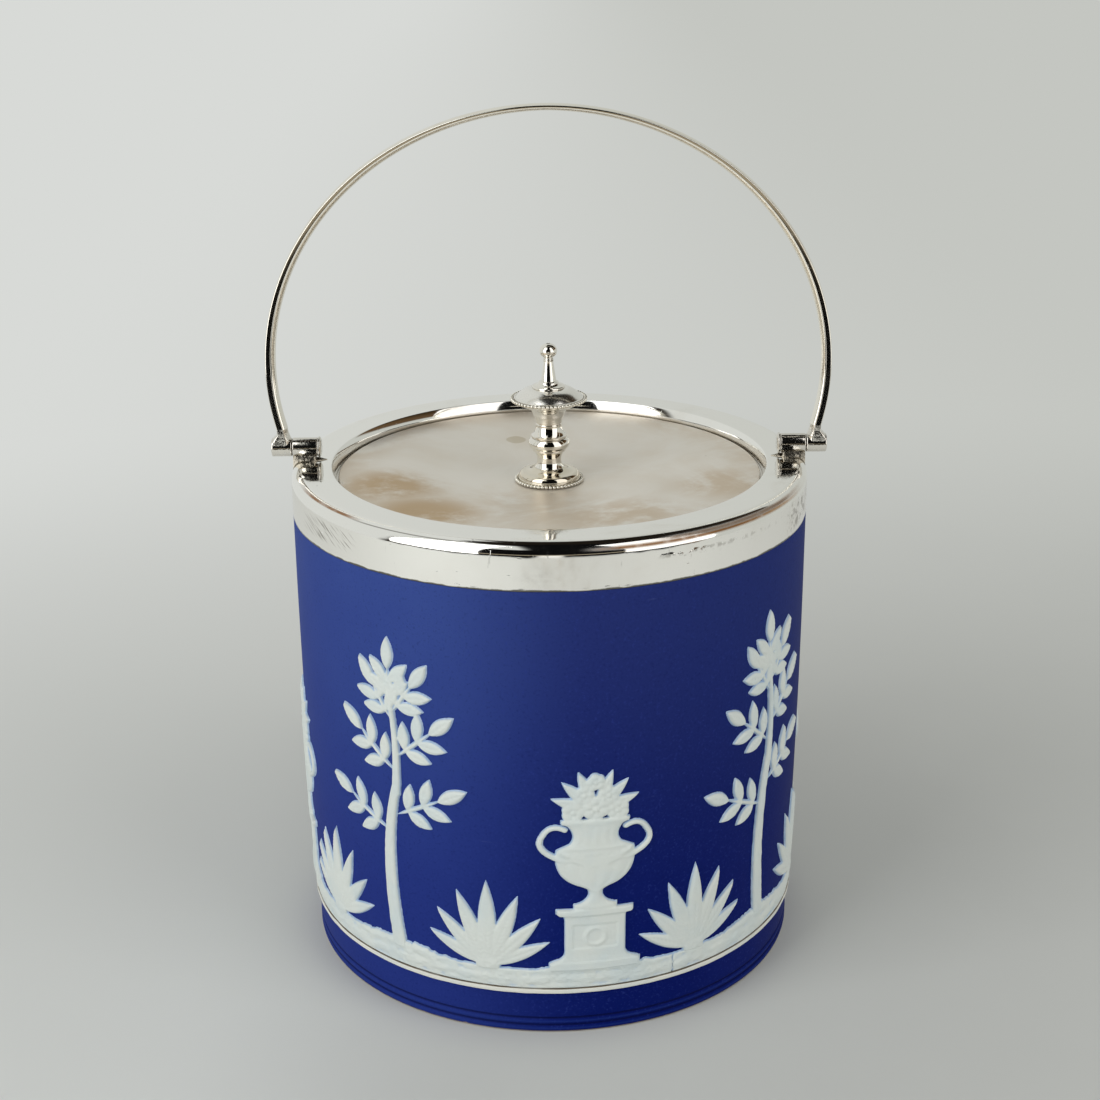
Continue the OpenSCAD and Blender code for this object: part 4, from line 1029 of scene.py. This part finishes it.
def knob_pieces():
    rim_h = 2 * BEAD_R
    r, h = KNOB_FOOT_R, KNOB_FOOT_H
    foot = [(r, 0), (r, rim_h)] + curve((r - 0.15, rim_h + 0.1), (r - 0.3, h - 1.2), (r - 1.2, h - 1.1), 14)
    foot += curve((r - 1.6, h - 1.1), (JOINT_R + 0.4, h - 1), (LOW_STEM_R + 0.75, h), 16)
    knob_part("knob_foot_disc", LID_Z, foot, "knob_foot", material=FOOT)
    h = 5.0
    lower = curve((LOW_STEM_R + 0.65, 0), (LOW_STEM_R - 0.75, h * 0.4), (LOW_STEM_R + 0.8, h * 0.84), 20)
    knob_part("knob_stem_low", LOWER_Z, lower + [(JOINT_R, h * 0.9), (JOINT_R, h)], "knob_lower_stem", 0.1)
    h = 3.0
    ring = curve((JOINT_R + 0.4, h * 0.06), (2 * RING_R - JOINT_R - 0.4, h * 0.45), (JOINT_R + 0.4, h * 0.94), 20)
    knob_part("knob_ring", RING_Z, [(JOINT_R, 0)] + ring + [(JOINT_R, h)], "knob_mid_ring", 0.1)
    h = 5.7
    upper = [(JOINT_R + 0.25, 0), (JOINT_R + 0.25, h * 0.09)]
    upper += curve((JOINT_R - 0.1, h * 0.11), (STEM_R + 0.15, h * 0.26), (STEM_R, h * 0.52), 16)
    upper += [(STEM_R + 0.12, h * 0.55), (STEM_R + 0.12, h * 0.61)]
    upper += curve((STEM_R, h * 0.64), (STEM_R, h * 0.80), (STEM_R + 0.65, h), 14)
    knob_part("knob_stem_high", UPPER_Z, upper, "knob_upper_stem")
    rim, r = SAUCER_H * 0.61, SAUCER_R
    saucer = curve((STEM_R + 0.65, 0), (STEM_R + 1, rim - 2.5), (STEM_R + 2.6, rim - 2.1), 14)
    saucer += curve((STEM_R + 2.8, rim - 1.8), (r - 1.2, rim - 1.4), (r, rim - BEAD_R * 0.8), 12)
    saucer += [(r, rim + BEAD_R * 0.8), (r - 0.3, rim + BEAD_R * 0.8 + 0.1)]
    saucer += curve((r - 0.45, rim + BEAD_R * 0.8), (r - 2.4, SAUCER_H - 0.1), (STEM_R + 0.85, SAUCER_H), 28)
    knob_part("knob_saucer_disc", SAUCER_Z, saucer, "knob_saucer", material=WORN)
    neck_z = FINIAL_H - 2 * BALL_R * 0.84
    ball_half = (FINIAL_H - neck_z) / 2
    neck, cone = BALL_R * 0.52, BALL_R * 0.88
    finial = [(0, 0), (STEM_R + 0.85, 0), (STEM_R + 0.85, 0.35)]
    finial += curve((STEM_R + 0.7, 0.55), (cone + 1, 0.6), (cone + 0.6, 1.2), 10) + [(cone + 0.55, 1.55), (cone, 1.7)]
    finial += [(neck + 0.06, neck_z - 0.8), (neck + 0.25, neck_z - 0.6), (neck + 0.04, neck_z - 0.4)]
    finial += [(neck + 0.16, neck_z - 0.2), (neck, neck_z)]
    finial += [(r, neck_z + ball_half * (1 + up / BALL_R)) for r, up in arc((0, 0), BALL_R, -58, 74, 33)]
    finial += [(BALL_R * 0.2, FINIAL_H), (BALL_R * 0.2, FINIAL_H - 0.25), (0, FINIAL_H - 0.25)]
    profile = [(r, FINIAL_Z + h) for r, h in finial]
    points, faces = spun(soften(profile, 0.08), 128, closed=False)
    add_piece("knob_finial_ball", points, faces, KNOB, "lid", ["knob_finial"], 32.0)
    beads("knob_foot_beads", KNOB_FOOT_R + BEAD_R, LID_Z + BEAD_R, "knob_foot_beading", 53)
    beads("knob_saucer_beads", SAUCER_R + BEAD_R, SAUCER_Z + rim, "knob_saucer_beading", 59)


jar_piece()
relief_pieces()
collar_piece()
for side in (-1, 1):
    hinge_pieces(side)
bail_piece()
lid_pieces()
knob_pieces()

# CAD nodes whose shape stays as it is
for node in ("collar_plaster", "knob_stud", "knob_washer", "knob_nut"):
    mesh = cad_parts[node].data
    mesh.materials.clear()
    mesh.materials.append(PLASTER if node == "collar_plaster" else STEEL)


# ---- Stage: floor, surroundings, lamps and camera, in metres ----
TABLE_R = 0.445
WALL_LEFT, WALL_RIGHT = srgb(216, 218, 215), srgb(196, 198, 193)
ROOM = (0.030, 0.024, 0.018)
ROOM_RIGHT, BROWN_RIGHT = (0.050, 0.030, 0.014), (0.110, 0.066, 0.033)
CEILING, DARK = (0.011, 0.0085, 0.006), (0.003, 0.003, 0.003)
FRONT_GLOW, TABLE_GLOW = (0.33, 0.285, 0.21), (0.96, 0.96, 0.92)
FILL = (0.42, 0.42, 0.40)
FLOOR_SIZE, FLOOR_Z0 = 4.0, -0.0002
MID_HEIGHT = 0.12
# azimuth from the front, height, distance, width, height of the lamp, radiance, colour
LAMPS = {"softbox_left": (-48, 0.68, 0.62, 0.44, 1.36, 2.1, (1.0, 1.0, 0.99)),
         "softbox_right": (50, 0.68, 0.62, 0.46, 1.36, 1.22, (1.0, 0.99, 0.97))}
CAMERA_AT, CAMERA_PITCH, CAMERA_ROLL = (0, -0.46787, 0.27449), 0.349, -0.009
SENSOR, FOCAL_WIDTHS = 36, 1900 / 1100


def backdrop(s, x):
    return s.mix(s.ramp(x, -0.34, 0.34), WALL_LEFT, WALL_RIGHT)


def surroundings(s, vector):
    """What the metal sees: a pale backdrop behind that comes round on the left, a dim brown room on the right,
    a dark ceiling, and darkness in front with a pale strip of table under the camera and a dim glow far off."""
    x, y, z = s.axes(s.add("VectorMath", 0, {"operation": "NORMALIZE"}, _0=vector))
    across = y / s.most(s.length(x, y), 0.001)
    on_right = s.ramp(x, -0.12, 0.12)
    room = s.mix(on_right, ROOM, s.mix(s.ramp(z, 0.30, 0.48), BROWN_RIGHT, ROOM_RIGHT))
    room = s.mix(s.ramp(z, 0.45, 0.85), room, CEILING)
    room = s.mix(s.ramp(across, -0.50, -0.62), room, DARK)
    strip = s.ramp(abs(x), 0.11, 0.06) * s.ramp(z, -0.09, -0.13) * s.ramp(across, -0.5, -0.9)
    room = s.mix(strip, room, TABLE_GLOW)
    glow = s.ramp(z, -0.124, -0.106) * s.ramp(z, -0.030, -0.045) * s.ramp(across, -0.5, -0.7)
    room = s.mix(glow, room, FRONT_GLOW)
    # the backdrop ends at a side edge and at a top edge, which differ on the left and the right
    side_edge = s.mix(on_right, s.ramp(across, -0.36, -0.26), s.ramp(across, 0.55, 0.66))
    top = s.mix(s.ramp(x, -0.14, -0.24), s.ramp(across, 0.25, 0.90, 0.62, 0.84), (0.93, 0.93, 0.93))
    top = s.mix(on_right, top, s.ramp(across, 0.60, 0.98, 0.52, 0.84))
    behind = side_edge * s.ramp(z - top, 0.03, -0.03)
    # a pale area high on the left, and the far table low on the right
    over = s.ramp(x, -0.45, -0.38) * s.ramp(x, -0.12, -0.19) * (s.ramp(z, 0.58, 0.64) * s.ramp(z, 0.955, 0.93))
    low_right = on_right * (s.ramp(z, 0.25, 0.17) * s.ramp(across, -0.50, -0.40))
    return s.mix(s.most(behind, over, low_right), room, backdrop(s, x))


def make_floor():
    """A pale floor that fades into the backdrop's tone behind the jar, and that metal sees as a lit table."""
    s = Shader("studio_floor")
    v = s.place()
    x, y, _ = s.axes(v)
    tone = s.mix(s.ramp(s.noise(v, 9.0, 3.0), 0.3, 0.7), (0.600, 0.615, 0.600), (0.620, 0.635, 0.620))
    # painted light: the floor is paler on the left, towards the stronger lamp
    tone = s.mix(s.ramp(x, -0.02, -0.10), tone, (0.725, 0.745, 0.730))
    from_jar = s.add("VectorMath", 0, {"operation": "SUBTRACT"}, _0=v, _1=(0.0, 0.0, MID_HEIGHT))
    off_table = s.ramp(s.length(x, y), TABLE_R * 0.96, TABLE_R * 1.04)
    mirrored = s.mix(off_table, TABLE_GLOW, surroundings(s, from_jar))
    seen = s.mix(s.ray("Glossy"), backdrop(s, x), mirrored)
    camera_far = s.ramp(y + (abs(x) * 0.25 - x * 0.10), -0.02, 0.56)
    fac = s.ray("Camera") * camera_far + s.ray("Glossy") * s.most(off_table, 0.30)
    s.out(s.add("MixShader", Fac=fac, _1=s.add("BsdfDiffuse", Color=tone), _2=s.add("Emission", Color=seen)))
    mesh = bpy.data.meshes.new("floor")
    corners = [(x * FLOOR_SIZE, y * FLOOR_SIZE, FLOOR_Z0) for x, y in ((-1, -1), (1, -1), (1, 1), (-1, 1))]
    mesh.from_pydata(corners, [], [(0, 1, 2, 3)])
    mesh.materials.append(s.owner)
    floor = bpy.data.objects.new("floor", mesh)
    bpy.context.scene.collection.objects.link(floor)


def make_world():
    world = bpy.data.worlds.new("studio")
    bpy.context.scene.world = world
    s = Shader("studio", world)
    vector = s.add("TexCoord", "Generated")
    color = s.mix(s.ray("Glossy"), FILL, surroundings(s, vector))
    shown = s.most(s.ray("Camera"), s.ray("Transmission"))
    color = s.mix(shown, color, backdrop(s, s.axes(vector)[0]))
    s.out(s.add("Background", Color=color, Strength=1.0))


def softbox(name, azimuth, height, distance, width, tall, radiance, color):
    """An upright rectangular lamp at an angle from the front, turned to face the jar."""
    lamp = bpy.data.lights.new(name, "AREA")
    lamp.shape = "RECTANGLE"
    lamp.size, lamp.size_y = width, tall
    lamp.energy = radiance * math.pi * width * tall
    lamp.color = color
    obj = bpy.data.objects.new(name, lamp)
    a = math.radians(azimuth)
    back = np.array([math.sin(a), -math.cos(a), 0.0])
    right = np.cross([0, 0, 1], back)
    m = Matrix([list(right) + [0], [0, 0, 1, 0], list(back) + [0], [0, 0, 0, 1]]).transposed()
    m.translation = (back * distance + np.array([0, 0, height])).tolist()
    obj.matrix_world = m
    bpy.context.scene.collection.objects.link(obj)


def make_camera():
    camera = bpy.data.cameras.new("camera")
    camera.lens, camera.sensor_width = SENSOR * FOCAL_WIDTHS, SENSOR
    camera.clip_start = 0.01
    obj = bpy.data.objects.new("camera", camera)
    obj.matrix_world = (Matrix.Translation(CAMERA_AT) @ Matrix.Rotation(math.pi / 2 - CAMERA_PITCH, 4, "X")
                        @ Matrix.Rotation(CAMERA_ROLL, 4, "Z"))
    bpy.context.scene.collection.objects.link(obj)
    bpy.context.scene.camera = obj


make_floor()
make_world()
for lamp_name, values in LAMPS.items():
    softbox(lamp_name, *values)
make_camera()
bpy.context.scene.view_settings.view_transform = "Standard"
